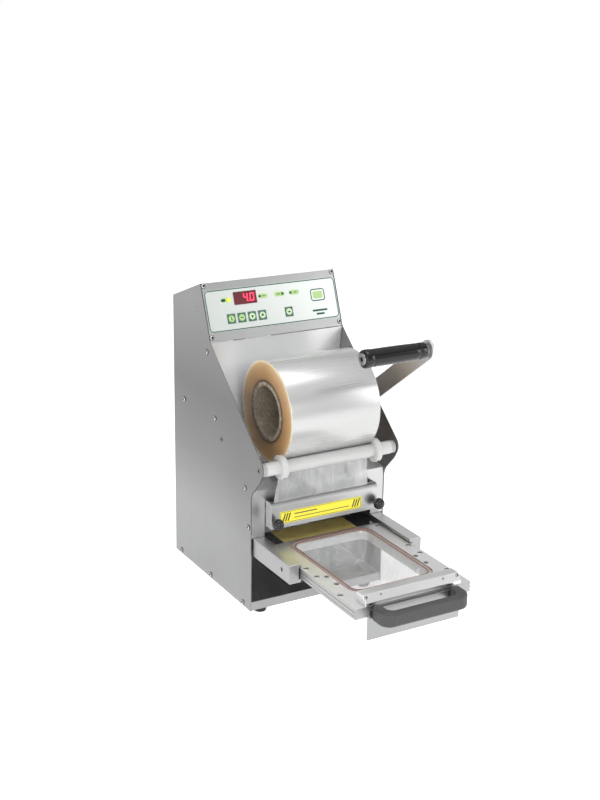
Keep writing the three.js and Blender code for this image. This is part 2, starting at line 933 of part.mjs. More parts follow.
const gripEnd = armInner - 4.6; // the grip's end next to the arm
const gripFree = gripEnd - gripLength;
add(
  "lever_grip",
  turnedX(
    [
      [boltRadius + clearance, gripFree],
      [12, gripFree],
      [13.4, gripFree + 2.5],
      [13.4, gripFree + 14],
      [12.4, gripFree + 17],
      [12.9, gripFree + 40],
      [12.3, gripEnd - 12],
      [11.8, gripEnd - 2],
      [11, gripEnd],
      [boltRadius + clearance, gripEnd],
      [boltRadius + clearance, gripFree],
    ],
    gripDepth,
    gripHeight,
    24,
  ),
  "blackPlastic",
);
add(
  "grip_bolt",
  turnedX(
    [
      [0, gripFree - 2],
      [8.6, gripFree - 2],
      [9, gripFree - 1.5],
      [9, gripFree - gap],
      [boltRadius, gripFree - gap],
      [boltRadius, gripEnd + gap],
      [9, gripEnd + gap],
      [9, armInner - gap],
      [boltRadius, armInner - gap],
      [boltRadius, armOuter + gap],
      [8, armOuter + gap],
      [8, armOuter + 3],
      [7, armOuter + 3.6],
      [0, armOuter + 3.6],
    ],
    gripDepth,
    gripHeight,
    20,
  ),
  "steel",
);

// ---------- rails and drawer ----------
const linerWall = 1;
const linerFit = 0.4;
const grooveLow = drawerTop - drawerThickness - linerFit - linerWall - gap;
const grooveHigh = drawerTop + linerFit + linerWall + gap;
const drawerHalf = railLip + 2.2;
const grooveDeep = drawerHalf + linerFit + linerWall + gap;
const chamfer = 1.2;
for (const [word, side] of sides) {
  const profile = [
    [grooveDeep, grooveLow],
    [railLip, grooveLow],
    [railLip, railFloor],
    [railOutside - chamfer, railFloor],
    [railOutside, railFloor + chamfer],
    [railOutside, railTop - chamfer],
    [railOutside - chamfer, railTop],
    [railLip, railTop],
    [railLip, grooveHigh],
    [grooveDeep, grooveHigh],
  ];
  const liner = [
    [railLip + 0.4, grooveLow + gap],
    [grooveDeep - gap, grooveLow + gap],
    [grooveDeep - gap, grooveHigh - gap],
    [railLip + 0.4, grooveHigh - gap],
    [railLip + 0.4, grooveHigh - gap - linerWall],
    [grooveDeep - gap - linerWall, grooveHigh - gap - linerWall],
    [grooveDeep - gap - linerWall, grooveLow + gap + linerWall],
    [railLip + 0.4, grooveLow + gap + linerWall],
  ];
  const lengthwise = (points, y0, y1) => {
    const drawn = points.map(([x, z]) => new THREE.Vector2(z, side * x));
    const made = new THREE.ExtrudeGeometry(new THREE.Shape(drawn), {
      depth: y1 - y0,
      bevelEnabled: false,
    });
    made.applyMatrix4(alongY);
    made.translate(0, y0, 0);
    return toSolid(made);
  };
  add("rail_" + word, lengthwise(profile, railFront, railBack), "aluminium");
  add("rail_liner_" + word, lengthwise(liner, railFront + 0.6, railBack - 1), "blackPlastic");
}

const mouldBack = bodyDepth - sheet - drawerRearGap - drawerTravel;
const barBack = openTrayCentre - trayLength / 2 - 17.5;
const barDepth = 25;
const frontBlock = barBack - barDepth;
const mouldOpenX = trayWidth / 2 - trayRim;
const mouldOpenY = trayLength / 2 - trayRim;
const rimPocket = 1.6; // the rim sits this deep in the mould
const trayFit = 0.6;
const gasketWidth = 6.2;
const outerX = trayWidth / 2 + trayFit;
const outerY = trayLength / 2 + trayFit;
const rect = (x, y, r) =>
  roundedRectangle(-x, x, openTrayCentre - y, openTrayCentre + y, r);
add(
  "mould_plate",
  cut(
    block(-drawerHalf, drawerHalf, frontBlock, mouldBack, drawerTop - drawerThickness, drawerTop),
    slabZ(rect(mouldOpenX, mouldOpenY, 14), drawerTop - drawerThickness - 1, drawerTop + 1),
    slabZ(rect(outerX, outerY, 20), drawerTop - rimPocket - 1.2, drawerTop + 1),
  ),
  "aluminium",
);
const seatHigh = drawerTop - rimPocket - gap / 2;
add(
  "mould_gasket",
  cut(
    slabZ(rect(outerX - gap, outerY - gap, 19.7), drawerTop - rimPocket - 1, seatHigh),
    slabZ(
      rect(outerX - gap - gasketWidth, outerY - gap - gasketWidth, 16),
      drawerTop - rimPocket - 3,
      seatHigh + 1,
    ),
  ),
  "silicone",
);

// A sealable tray: a rim, drafted walls and a floor.
function trayLoft() {
  const wall = 0.6;
  const rimLow = seatHigh + gap;
  const rimHigh = rimLow + 0.8;
  const floorLow = rimHigh - trayDepth;
  const mouth = [mouldOpenX - 1, mouldOpenY - 1];
  const foot = [mouldOpenX - 9, mouldOpenY - 9];
  const steps = 5;
  const outline = ([x, y], r) => {
    const points = [];
    const corners = [[x - r, r - y], [x - r, y - r], [r - x, y - r], [r - x, r - y]];
    corners.forEach(([cx, cy], corner) => {
      for (let n = 0; n <= steps; n += 1) {
        const a = ((corner - 1 + n / steps) * Math.PI) / 2;
        const [px, py] = [cx + r * Math.cos(a), openTrayCentre + cy + r * Math.sin(a)];
        points.push(new THREE.Vector2(px, py));
      }
    });
    return points;
  };
  const frustum = (top, low, zTop, zLow, r) => {
    const upper = outline(top, r);
    const lower = outline(low, r);
    const count = upper.length;
    const positions = [];
    lower.forEach((p) => positions.push(p.x, p.y, zLow));
    upper.forEach((p) => positions.push(p.x, p.y, zTop));
    positions.push(0, openTrayCentre, zLow);
    positions.push(0, openTrayCentre, zTop);
    const faces = [];
    for (let n = 0; n < count; n += 1) {
      const m = (n + 1) % count;
      faces.push(n, m, count + m, n, count + m, count + n);
      faces.push(2 * count, m, n, 2 * count + 1, count + n, count + m);
    }
    const made = new THREE.BufferGeometry();
    made.setAttribute("position", new THREE.Float32BufferAttribute(positions, 3));
    made.setIndex(faces);
    return toSolid(made);
  };
  const shell = frustum(mouth, foot, rimHigh, floorLow, 12);
  const hollow = frustum(
    [mouth[0] - wall, mouth[1] - wall],
    [foot[0] - wall, foot[1] - wall],
    rimHigh + 0.5,
    floorLow + wall,
    11.4,
  );
  const rim = slabZ(rect(trayWidth / 2, trayLength / 2, 19), rimLow, rimHigh);
  return cut(join(rim, shell), hollow);
}
add("food_tray", trayLoft(), "clearPlastic");

const deckFront = openTrayCentre + trayLength / 2 + 3;
add(
  "deck_plate",
  block(-railLip + 1, railLip - 1, deckFront, mouldBack, drawerTop + gap, drawerTop + 0.9),
  "blackDeck",
);

const barHalf = pinX - ballRadius - gap; // passes between the pull knobs
const barFront = frontBlock;
const barTop = 124;
const barProfile = new THREE.Shape();
barProfile.moveTo(barFront, drawerTop + gap);
barProfile.lineTo(barBack, drawerTop + gap);
barProfile.lineTo(barBack, barTop - 2);
barProfile.lineTo(barBack - 2, barTop);
barProfile.lineTo(barFront + 8, barTop);
barProfile.lineTo(barFront, barTop - 9);
add("front_bar", slabX(barProfile, -barHalf, barHalf), "aluminium");

const skirtHalf = 75;
const skirtLow = 61;
const skirtHigh = 106;
const skirtFace = frontBlock - gap;
add(
  "skirt_plate",
  block(-skirtHalf, skirtHalf, skirtFace - 2, skirtFace, skirtLow, skirtHigh),
  "stainless",
);

// The pull is a flat bar bent to a bow: two legs against the skirt and a grip in front.
const pullCentres = 128;
const pullReach = 34;
const pullHeight = 22;
const pullThickness = 11;
function pullShape() {
  const half = pullCentres / 2 + 6;
  const face = skirtFace - 2 - gap;
  const outer = new THREE.Shape();
  const back = face;
  const bow = face - pullReach;
  outer.moveTo(-half, back);
  outer.lineTo(-half, bow + 16);
  outer.absarc(-half + 16, bow + 16, 16, Math.PI, 1.5 * Math.PI);
  outer.lineTo(half - 16, bow);
  outer.absarc(half - 16, bow + 16, 16, -Math.PI / 2, 0);
  outer.lineTo(half, back);
  outer.lineTo(half - 14, back);
  outer.lineTo(half - 14, bow + pullThickness + 9);
  outer.absarc(half - 23, bow + pullThickness + 9, 9, 0, -Math.PI / 2, true);
  outer.lineTo(-half + 23, bow + pullThickness);
  outer.absarc(-half + 23, bow + pullThickness + 9, 9, -Math.PI / 2, -Math.PI, true);
  outer.lineTo(-half + 14, back);
  return outer;
}
const pullMiddle = 101;
add(
  "pull_handle",
  slabZ(pullShape(), pullMiddle - pullHeight / 2, pullMiddle + pullHeight / 2, 6),
  "greyPlastic",
);

// ---------- feet, inlet ----------
const footRadius = 11;
const footHeight = 8;
const footInset = 23.5;
for (const [depthWord, y] of [
  ["front", 13.5],
  ["rear", bodyDepth - 24],
]) {
  for (const [word, side] of sides) {
    add(
      "foot_" + depthWord + "_" + word,
      turnedZ(
        [
          [0, -footHeight],
          [footRadius - 2, -footHeight],
          [footRadius, 0],
          [0, 0],
        ],
        side * (halfWidth - footInset),
        y,
      ),
      "rubber",
    );
  }
}

function turnedZ(profile, x, y) {
  const made = new THREE.LatheGeometry(
    profile.map(([r, z]) => new THREE.Vector2(r, z)),
    24,
  );
  made.rotateX(Math.PI / 2);
  made.translate(x, y, 0);
  return toSolid(made);
}

const socketHalf = inletWidth / 2 - gap;
const socketRise = inletHeight / 2 - gap;
add(
  "power_inlet",
  cut(
    join(
      block(
        inletX - socketHalf,
        inletX + socketHalf,
        bodyDepth - 24,
        bodyDepth + 0.5,
        inletZ - socketRise,
        inletZ + socketRise,
      ),
      block(inletX - 19, inletX + 19, bodyDepth + gap, bodyDepth + 2.5, inletZ - 13, inletZ + 13),
    ),
    block(
      inletX - socketHalf + 2,
      inletX + socketHalf - 2,
      bodyDepth - 14,
      bodyDepth + 4,
      inletZ - socketRise + 2,
      inletZ + socketRise - 2,
    ),
  ),
  "blackPlastic",
);

// ---------- origin ----------
const box = new THREE.Box3().setFromObject(machine);
const origin = new THREE.Vector3(
  (box.min.x + box.max.x) / 2,
  (box.min.y + box.max.y) / 2,
  box.min.z,
);
for (const mesh of machine.children) {
  mesh.geometry.translate(-origin.x, -origin.y, -origin.z);
}

export default machine;
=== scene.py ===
import json
import math
import random

import bmesh
import bpy
from mathutils import Matrix, Vector


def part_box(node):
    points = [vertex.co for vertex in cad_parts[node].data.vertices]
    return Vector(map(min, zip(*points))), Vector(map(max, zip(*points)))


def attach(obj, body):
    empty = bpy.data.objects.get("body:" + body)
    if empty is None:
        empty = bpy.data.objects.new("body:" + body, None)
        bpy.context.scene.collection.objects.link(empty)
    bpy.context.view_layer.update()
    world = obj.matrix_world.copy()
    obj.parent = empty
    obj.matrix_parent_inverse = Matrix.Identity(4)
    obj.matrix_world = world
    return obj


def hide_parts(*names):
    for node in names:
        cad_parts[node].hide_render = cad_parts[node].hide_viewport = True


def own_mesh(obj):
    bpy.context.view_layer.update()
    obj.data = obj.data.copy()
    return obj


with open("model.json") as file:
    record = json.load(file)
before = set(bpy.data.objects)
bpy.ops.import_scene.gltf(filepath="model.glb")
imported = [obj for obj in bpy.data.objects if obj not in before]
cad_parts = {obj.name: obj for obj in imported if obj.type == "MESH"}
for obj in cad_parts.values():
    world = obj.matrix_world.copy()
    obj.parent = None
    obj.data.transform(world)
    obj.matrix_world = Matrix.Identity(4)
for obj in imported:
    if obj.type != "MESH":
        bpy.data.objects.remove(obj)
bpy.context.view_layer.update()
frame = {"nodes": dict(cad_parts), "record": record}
nodes = frame["nodes"]
bodyOf = {node: body for body, members in frame["record"]["behaviour"]["bodies"].items() for node in members}
print("frame loaded,", len(nodes), "nodes")

# Places are in millimetres from the middle of the housing's front bottom edge, +y to the back.
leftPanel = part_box("left_side_panel")
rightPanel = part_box("right_side_panel")
housing = {"depth": 259.0, "sheet": 1.5}
middleX = (leftPanel[0].x + rightPanel[1].x) / 2
frontY = leftPanel[1].y - housing["depth"] / 1000
lowZ = leftPanel[0].z


def at(x, y, z):
    return Vector((middleX + x / 1000, frontY + y / 1000, lowZ + z / 1000))


def span(node):
    # a node's lowest and highest corner in those millimetres
    low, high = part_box(node)
    origin = at(0, 0, 0)
    return (low - origin) * 1000, (high - origin) * 1000


def sizes(node):
    # its corners, its middle and half its size each way
    low, high = span(node)
    return low, high, (low + high) / 2, (high - low) / 2


def middle(node):
    low, high = span(node)
    return (low + high) / 2


# ---- camera, floor and light ----

view = {
    "azimuth": -30.091,
    "elevation": 17.974,
    "roll": 0.917,
    # focal length, in parts of the frame's height
    "focal": 1379.5,
    "frameHeight": 800,
    "sensor": 36,
    "from": (-983.5, -1635.8, 931.7),
}


def makeCamera():
    azimuth = math.radians(view["azimuth"])
    elevation = math.radians(view["elevation"])
    level = math.cos(elevation)
    back = Vector((math.sin(azimuth) * level, -math.cos(azimuth) * level, math.sin(elevation)))
    right = Vector((0, 0, 1)).cross(back).normalized()
    up = back.cross(right)
    roll = math.radians(view["roll"])
    turned = math.cos(roll) * right + math.sin(roll) * up
    upright = math.cos(roll) * up - math.sin(roll) * right
    data = bpy.data.cameras.new("camera")
    data.sensor_width = view["sensor"]
    data.lens = view["focal"] * view["sensor"] / view["frameHeight"]
    data.clip_end = 50
    camera = bpy.data.objects.new("camera", data)
    bpy.context.scene.collection.objects.link(camera)
    turn = Matrix((turned, upright, back)).transposed().to_4x4()
    camera.matrix_world = Matrix.Translation(at(*view["from"])) @ turn
    bpy.context.scene.camera = camera


makeCamera()


class Wire:
    # one output of a node; sums on it add Math nodes to its tree
    def __init__(self, graph, socket):
        self.graph = graph
        self.socket = socket

    def worked(self, operation, first, second):
        return self.graph.node("ShaderNodeMath", {"operation": operation}, {0: first, 1: second})

    def __add__(self, other):
        return self.worked("ADD", self, other)

    def __radd__(self, other):
        return self.worked("ADD", other, self)

    def __sub__(self, other):
        return self.worked("SUBTRACT", self, other)

    def __rsub__(self, other):
        return self.worked("SUBTRACT", other, self)

    def __mul__(self, other):
        return self.worked("MULTIPLY", self, other)

    def __rmul__(self, other):
        return self.worked("MULTIPLY", other, self)

    def __truediv__(self, other):
        return self.worked("DIVIDE", self, other)

    def __pow__(self, other):
        return self.worked("POWER", self, other)


class Graph:
    # one node tree, of a material, of the world or of geometry
    def __init__(self, tree):
        self.tree = tree

    def join(self, value, socket):
        if isinstance(value, Wire):
            self.tree.links.new(value.socket, socket)
        elif socket.type == "RGBA":
            socket.default_value = (*value[:3], 1)
        else:
            socket.default_value = value

    def node(self, kind, settings=None, sockets=None, output=0):
        made = self.tree.nodes.new(kind)
        for key, value in (settings or {}).items():
            if key == "stops":
                self.setStops(made.color_ramp, value)
            else:
                setattr(made, key, value)
        for key, value in (sockets or {}).items():
            self.join(value, made.inputs[key])
        return Wire(self, made.outputs[output]) if made.outputs else None

    def setStops(self, ramp, stops):
        while len(ramp.elements) < len(stops):
            ramp.elements.new(1)
        for element, (position, colour) in zip(ramp.elements, stops):
            element.position = position
            element.color = (*colour, 1) if isinstance(colour, tuple) else (colour, colour, colour, 1)


studio = {
    "backdrop": (1.0, 1.0, 1.0),
    "floor": (0.86, 0.86, 0.86),
    "floorGlow": 0.62,
    "floorSize": 14.0,
    "worldStrength": 0.58,
    # share of the way from straight down to straight up, and how bright the studio is there
    "sky": [
        (0.0, 0.8),
        (0.5, 0.9),
        (0.6, 1.2),
        (0.68, 1.2),
        (0.725, 0.55),
        (0.79, 0.52),
        (0.85, 1.15),
        (1.0, 1.1),
    ],
    # name, place, target, size across, size down, watts
    "lamps": [
        ("lampLeft", (-2100, -700, 1300), (0, 60, 230), 900, 1500, 12),
        ("lampTop", (100, -200, 2300), (0, 0, 200), 1500, 1300, 15),
        ("lampRight", (1900, -1500, 900), (0, 0, 200), 700, 1300, 8),
        ("lampFront", (-500, -2400, 1000), (0, 0, 180), 1200, 900, 14),
    ],
}


def makeWorld():
    world = bpy.data.worlds.new("studio")
    world.use_nodes = True
    graph = Graph(world.node_tree)
    world.node_tree.nodes.clear()
    direction = graph.node("ShaderNodeTexCoord", output="Generated")
    height = graph.node("ShaderNodeSeparateXYZ", sockets={0: direction}, output="Z")
    shade = graph.node("ShaderNodeValToRGB", {"stops": studio["sky"]}, {0: height * 0.5 + 0.5})
    lit = graph.node(
        "ShaderNodeBackground", sockets={"Color": shade, "Strength": studio["worldStrength"]}
    )
    seen = graph.node("ShaderNodeBackground", sockets={"Color": studio["backdrop"], "Strength": 1.0})
    straight = graph.node("ShaderNodeLightPath", output="Is Camera Ray")
    mixed = graph.node("ShaderNodeMixShader", sockets={0: straight, 1: lit, 2: seen})
    graph.node("ShaderNodeOutputWorld", sockets={"Surface": mixed})
    bpy.context.scene.world = world


def makeStudio():
    makeWorld()
    bpy.context.scene.view_settings.view_transform = "Standard"
    half = studio["floorSize"] / 2
    data = bpy.data.meshes.new("floor")
    corners = [(-half, -half, 0), (half, -half, 0), (half, half, 0), (-half, half, 0)]
    data.from_pydata(corners, [], [(0, 1, 2, 3)])
    floor = bpy.data.objects.new("floor", data)
    bpy.context.scene.collection.objects.link(floor)
    material = bpy.data.materials.new("floorPaper")
    material.use_nodes = True
    inputs = material.node_tree.nodes["Principled BSDF"].inputs
    inputs["Base Color"].default_value = (*studio["floor"], 1)
    inputs["Roughness"].default_value = 0.9
    inputs["Emission Color"].default_value = (1, 1, 1, 1)
    inputs["Emission Strength"].default_value = studio["floorGlow"]
    data.materials.append(material)
    for name, place, target, across, down, watts in studio["lamps"]:
        lamp = bpy.data.lights.new(name, "AREA")
        lamp.shape = "RECTANGLE"
        lamp.size = across / 1000
        lamp.size_y = down / 1000
        lamp.energy = watts
        holder = bpy.data.objects.new(name, lamp)
        bpy.context.scene.collection.objects.link(holder)
        holder.visible_camera = False
        aim = at(*target) - at(*place)
        turn = aim.to_track_quat("-Z", "Y").to_matrix().to_4x4()
        holder.matrix_world = Matrix.Translation(at(*place)) @ turn


makeStudio()
print("camera, floor and lamps made")


# ---- finishes ----


class Paint(Graph):
    # a material built round one Principled shader
    def __init__(self, name, **fixed):
        self.material = bpy.data.materials.new(name)
        self.material.use_nodes = True
        super().__init__(self.material.node_tree)
        self.shader = self.tree.nodes["Principled BSDF"]
        self.set(**fixed)

    def set(self, **sockets):
        for name, value in sockets.items():
            self.join(value, self.shader.inputs[socketNames.get(name, name)])

    def place(self, scale=(1, 1, 1), shift=(0, 0, 0)):
        spot = self.node("ShaderNodeTexCoord", output="Object")
        return self.node("ShaderNodeMapping", sockets={"Vector": spot, "Location": shift, "Scale": scale})

    def grain(self, scale, detail=2.0, roughness=0.5):
        # noise at one scale, or at one for each axis
        where = self.place(scale if isinstance(scale, tuple) else (scale, scale, scale))
        sockets = {"Vector": where, "Scale": 1.0, "Detail": detail, "Roughness": roughness}
        return self.node("ShaderNodeTexNoise", sockets=sockets)

    def ramp(self, value, *stops):
        return self.node("ShaderNodeValToRGB", {"stops": stops}, {0: value})

    def between(self, share, first, second):
        settings = {"data_type": "RGBA"}
        return self.node("ShaderNodeMix", settings, {0: share, 6: first, 7: second}, output=2)

    def tinted(self, colour, share):
        # a colour made darker or lighter by a number
        scaled = {0: colour, "Scale": share}
        return self.node("ShaderNodeVectorMath", {"operation": "SCALE"}, scaled)

    def bumped(self, height, distance, strength):
        sockets = {"Height": height, "Distance": distance, "Strength": strength}
        self.set(Normal=self.node("ShaderNodeBump", sockets=sockets))


socketNames = {
    "color": "Base Color",
    "metallic": "Metallic",
    "roughness": "Roughness",
    "coat": "Coat Weight",
    "coatRoughness": "Coat Roughness",
    "alpha": "Alpha",
    "glow": "Emission Color",
    "glowStrength": "Emission Strength",
    "ior": "IOR",
    "subsurface": "Subsurface Weight",
}


def brushedSteel(name, along, tone, rough, levels=()):
    # rolled and brushed sheet: long fine scratches along one axis, soft clouds of tone
    paint = Paint(name, metallic=1.0)
    scratch = paint.grain(tuple(14.0 if axis == along else 1500.0 for axis in "xyz"), 3.0, 0.6)
    broad = paint.grain((5.0, 5.0, 2.4), 1.0)
    smear = paint.grain((38.0, 38.0, 17.0), 3.0)
    colour = (tone, tone * 1.004, tone * 1.012)
    shade = 0.8 + broad * 0.26 + scratch * 0.1 + smear * 0.04
    if levels:
        # painted reflection: height against tone, darker in a band part way up the sheet
        height = paint.node("ShaderNodeSeparateXYZ", sockets={0: paint.place()}, output="Z")
        shade = shade * paint.ramp(height * 2.0, *levels)
    paint.set(color=paint.tinted(colour, shade))
    paint.set(roughness=rough - 0.06 + scratch * 0.1 + smear * 0.06)
    paint.bumped(scratch, 0.00004, 0.35)
    return paint.material


def satinAluminium(name, tone, rough):
    # fly-cut plate: shallow arcs of the cutter under a fine bead-blasted grain
    paint = Paint(name, metallic=1.0)
    grain = paint.grain(2600.0)
    arcs = paint.node(
        "ShaderNodeTexWave",
        {"wave_type": "RINGS", "rings_direction": "Z"},
        {"Vector": paint.place((60, 60, 60), shift=(9.0, 2.0, 0)), "Scale": 9.0, "Distortion": 0.6},
    )
    cloud = paint.grain(11)
    colour = (tone, tone * 1.002, tone * 1.004)
    shade = 0.9 + cloud * 0.12 + grain * 0.06 + arcs * 0.03
    paint.set(color=paint.tinted(colour, shade), roughness=rough - 0.07 + grain * 0.1 + cloud * 0.06)
    paint.bumped(grain + arcs * 0.4, 0.00003, 0.3)
    return paint.material


def turnedMetal(name, tone, rough):
    # lathe-turned rod: soft clouds and specks
    paint = Paint(name, metallic=1.0)
    speck = paint.grain(900, 3.0)
    soft = paint.grain(60, 1.0)
    colour = (tone, tone, tone * 1.01)
    paint.set(color=paint.tinted(colour, 0.88 + soft * 0.2 + speck * 0.06))
    paint.set(roughness=rough - 0.05 + speck * 0.12)
    paint.bumped(speck, 0.00002, 0.3)
    return paint.material


def screwMetal():
    # head metal with painted shade, dark round the rim and down in the socket
    paint = Paint("screwMetal", metallic=1.0)
    deep = paint.node("ShaderNodeAttribute", {"attribute_name": "recess"}, output="Fac")
    speck = paint.grain(1300)
    paint.set(color=paint.tinted((0.6, 0.6, 0.61), 1.05 - deep + speck * 0.1))
    paint.set(roughness=0.26 + deep * 0.5 + speck * 0.08)
    return paint.material


def mouldedPlastic(name, colour, rough, grain, relief=0.00003, coat=0.0, variety=0.1):
    paint = Paint(name, coat=coat, coatRoughness=0.08)
    pebble = paint.grain(grain, 3.0)
    cloud = paint.grain(30)
    paint.set(color=paint.tinted(colour, 1 - variety + cloud * variety * 1.5 + pebble * variety * 0.5))
    paint.set(roughness=rough - 0.04 + pebble * 0.06 + cloud * 0.05)
    paint.bumped(pebble, relief, 0.5)
    return paint.material


def filmSide():
    # many wound layers of clear film: silvery, with fine lines round the roll
    paint = Paint("filmSide", metallic=0.5, coat=0.2, coatRoughness=0.15)
    lines = paint.grain((3.0, 420.0, 420.0))
    bands = paint.grain((1.2, 26.0, 26.0), 1.0)
    tone = paint.between(bands, (0.55, 0.55, 0.545), (0.64, 0.64, 0.64))
    paint.set(color=tone, roughness=0.22 + bands * 0.08 + lines * 0.03)
    paint.bumped(lines, 0.00002, 0.08)
    return paint.material


def filmEnd():
    # the wound edges seen end on: amber, paler towards the rim, in fine rings
    paint = Paint("filmEnd", roughness=0.3, coat=0.35, coatRoughness=0.15)
    away = paint.node("ShaderNodeAttribute", {"attribute_name": "outward"}, output="Fac")
    stops = (
        (0.0, (0.05, 0.03, 0.02)),
        (0.07, (0.15, 0.085, 0.04)),
        (0.16, (0.36, 0.21, 0.095)),
        (0.45, (0.46, 0.26, 0.11)),
        (0.8, (0.56, 0.36, 0.17)),
        (0.93, (0.78, 0.6, 0.36)),
        (1.0, (0.95, 0.88, 0.68)),
    )
    rings = paint.node(
        "ShaderNodeTexNoise",
        {"noise_dimensions": "1D"},
        {"W": away, "Scale": 26.0, "Detail": 5.0, "Roughness": 0.75},
    )
    mottle = paint.grain(25)
    base = paint.ramp(away, *stops)
    paint.set(color=paint.tinted(base, 0.42 + rings * 0.8 + mottle * 0.34))
    paint.bumped(rings, 0.00025, 0.5)
    return paint.material


def clearFilm():
    paint = Paint("clearFilm", metallic=0.25, coat=0.5, coatRoughness=0.06)
    ripple = paint.grain((58, 58, 9))
    creases = paint.grain((90, 90, 20), 1.0)
    paint.set(color=paint.between(ripple, (0.5, 0.51, 0.52), (0.84, 0.84, 0.84)))
    paint.set(alpha=0.34 + ripple * 0.26, roughness=0.12 + creases * 0.1)
    paint.bumped(ripple + creases * 0.5, 0.001, 0.22)
    return paint.material


def cardBoard():
    paint = Paint("cardBoard")
    fibre = paint.grain((700, 160, 160), 5.0, 0.7)
    patch = paint.grain(40, 3.0)
    flecks = paint.ramp(fibre, (0.42, 0.75), (0.6, 1.45))
    card = paint.between(patch, (0.17, 0.14, 0.105), (0.34, 0.29, 0.22))
    paint.set(color=paint.tinted(card, flecks), roughness=0.72 + fibre * 0.2)
    paint.bumped(fibre, 0.0003, 0.6)
    return paint.material


def overlayFoil():
    # back-printed matt foil with painted shade, darker towards its left side
    paint = Paint("overlayFoil", coat=0.15, coatRoughness=0.3)
    across = paint.node("ShaderNodeSeparateXYZ", sockets={0: paint.place()}, output="X")
    tooth = paint.grain(1800)
    tone = paint.between(across * 4.5 + 0.5, (0.55, 0.585, 0.56), (0.83, 0.87, 0.845))
    paint.set(color=paint.tinted(tone, 0.98 + tooth * 0.04), roughness=0.4 + tooth * 0.1)
    paint.bumped(tooth, 0.00002, 0.4)
    return paint.material


def printedInk(name, colour, glow=0.0):
    paint = Paint(name, glow=colour, glowStrength=glow)
    dots = paint.grain(2200)
    paint.set(color=paint.tinted(colour, 0.9 + dots * 0.2), roughness=0.36 + dots * 0.14)
    return paint.material


def displayGlass():
    paint = Paint("displayGlass", coat=1.0, coatRoughness=0.03, glow=(0.3, 0.012, 0.03), glowStrength=0.28)
    haze = paint.grain(240)
    paint.set(color=paint.between(haze, (0.045, 0.007, 0.01), (0.075, 0.012, 0.016)))
    paint.set(roughness=0.06 + haze * 0.06)
    return paint.material


def clearTrayPlastic():
    # thin formed film: nearly clear on the flat, whiter in its drawn flutes
    paint = Paint("clearTrayPlastic", coat=1.0, coatRoughness=0.03)
    drawn = paint.grain((60, 60, 12), 3.0, 0.6)
    wave = paint.grain(9, 1.0)
    paint.set(color=paint.between(drawn, (0.55, 0.56, 0.56), (0.86, 0.87, 0.86)))
    paint.set(alpha=0.22 + drawn * 0.3, roughness=0.05 + wave * 0.08, metallic=0.2)
    paint.bumped(drawn, 0.0006, 0.35)
    return paint.material


def glossDeck():
    paint = Paint("glossDeck", coat=0.6, coatRoughness=0.02, ior=2.1)
    dust = paint.grain(500, 3.0)
    smear = paint.grain((18, 40, 18))
    paint.set(color=paint.between(dust, (0.02, 0.02, 0.021), (0.045, 0.045, 0.047)))
    paint.set(roughness=0.035 + smear * 0.06)
    return paint.material


def coatedCloth():
    # tan woven glass cloth under a slick coating
    paint = Paint("coatedCloth", coat=0.8, coatRoughness=0.05, metallic=0.3)
    warp = paint.node(
        "ShaderNodeTexChecker", sockets={"Vector": paint.place((1, 1, 1)), "Scale": 900.0}, output="Fac"
    )
    stain = paint.grain((26, 40, 26), 3.0)
    paint.set(color=paint.between(stain, (0.4, 0.31, 0.07), (0.85, 0.7, 0.26)))
    paint.set(roughness=0.16 + warp * 0.08 + stain * 0.08)
    return paint.material


def siliconeRubber(name, colour):
    paint = Paint(name, subsurface=0.1)
    matt = paint.grain(1100)
    paint.set(color=paint.tinted(colour, 0.85 + matt * 0.3), roughness=0.5 + matt * 0.15)
    paint.bumped(matt, 0.00004, 0.5)
    return paint.material


def circuitBoard():
    paint = Paint("circuitBoard")
    tracks = paint.node(
        "ShaderNodeTexBrick",
        {"offset": 0.37},
        {
            "Vector": paint.place((90, 90, 90)),
            "Color1": (0.012, 0.11, 0.045),
            "Color2": (0.01, 0.085, 0.035),
            "Mortar": (0.05, 0.22, 0.1),
            "Scale": 3.0,
            "Mortar Size": 0.03,
        },
    )
    spots = paint.grain(600)
    paint.set(color=paint.tinted(tracks, 0.8 + spots * 0.4), roughness=0.3 + spots * 0.15)
    paint.bumped(spots, 0.0001, 0.3)
    return paint.material
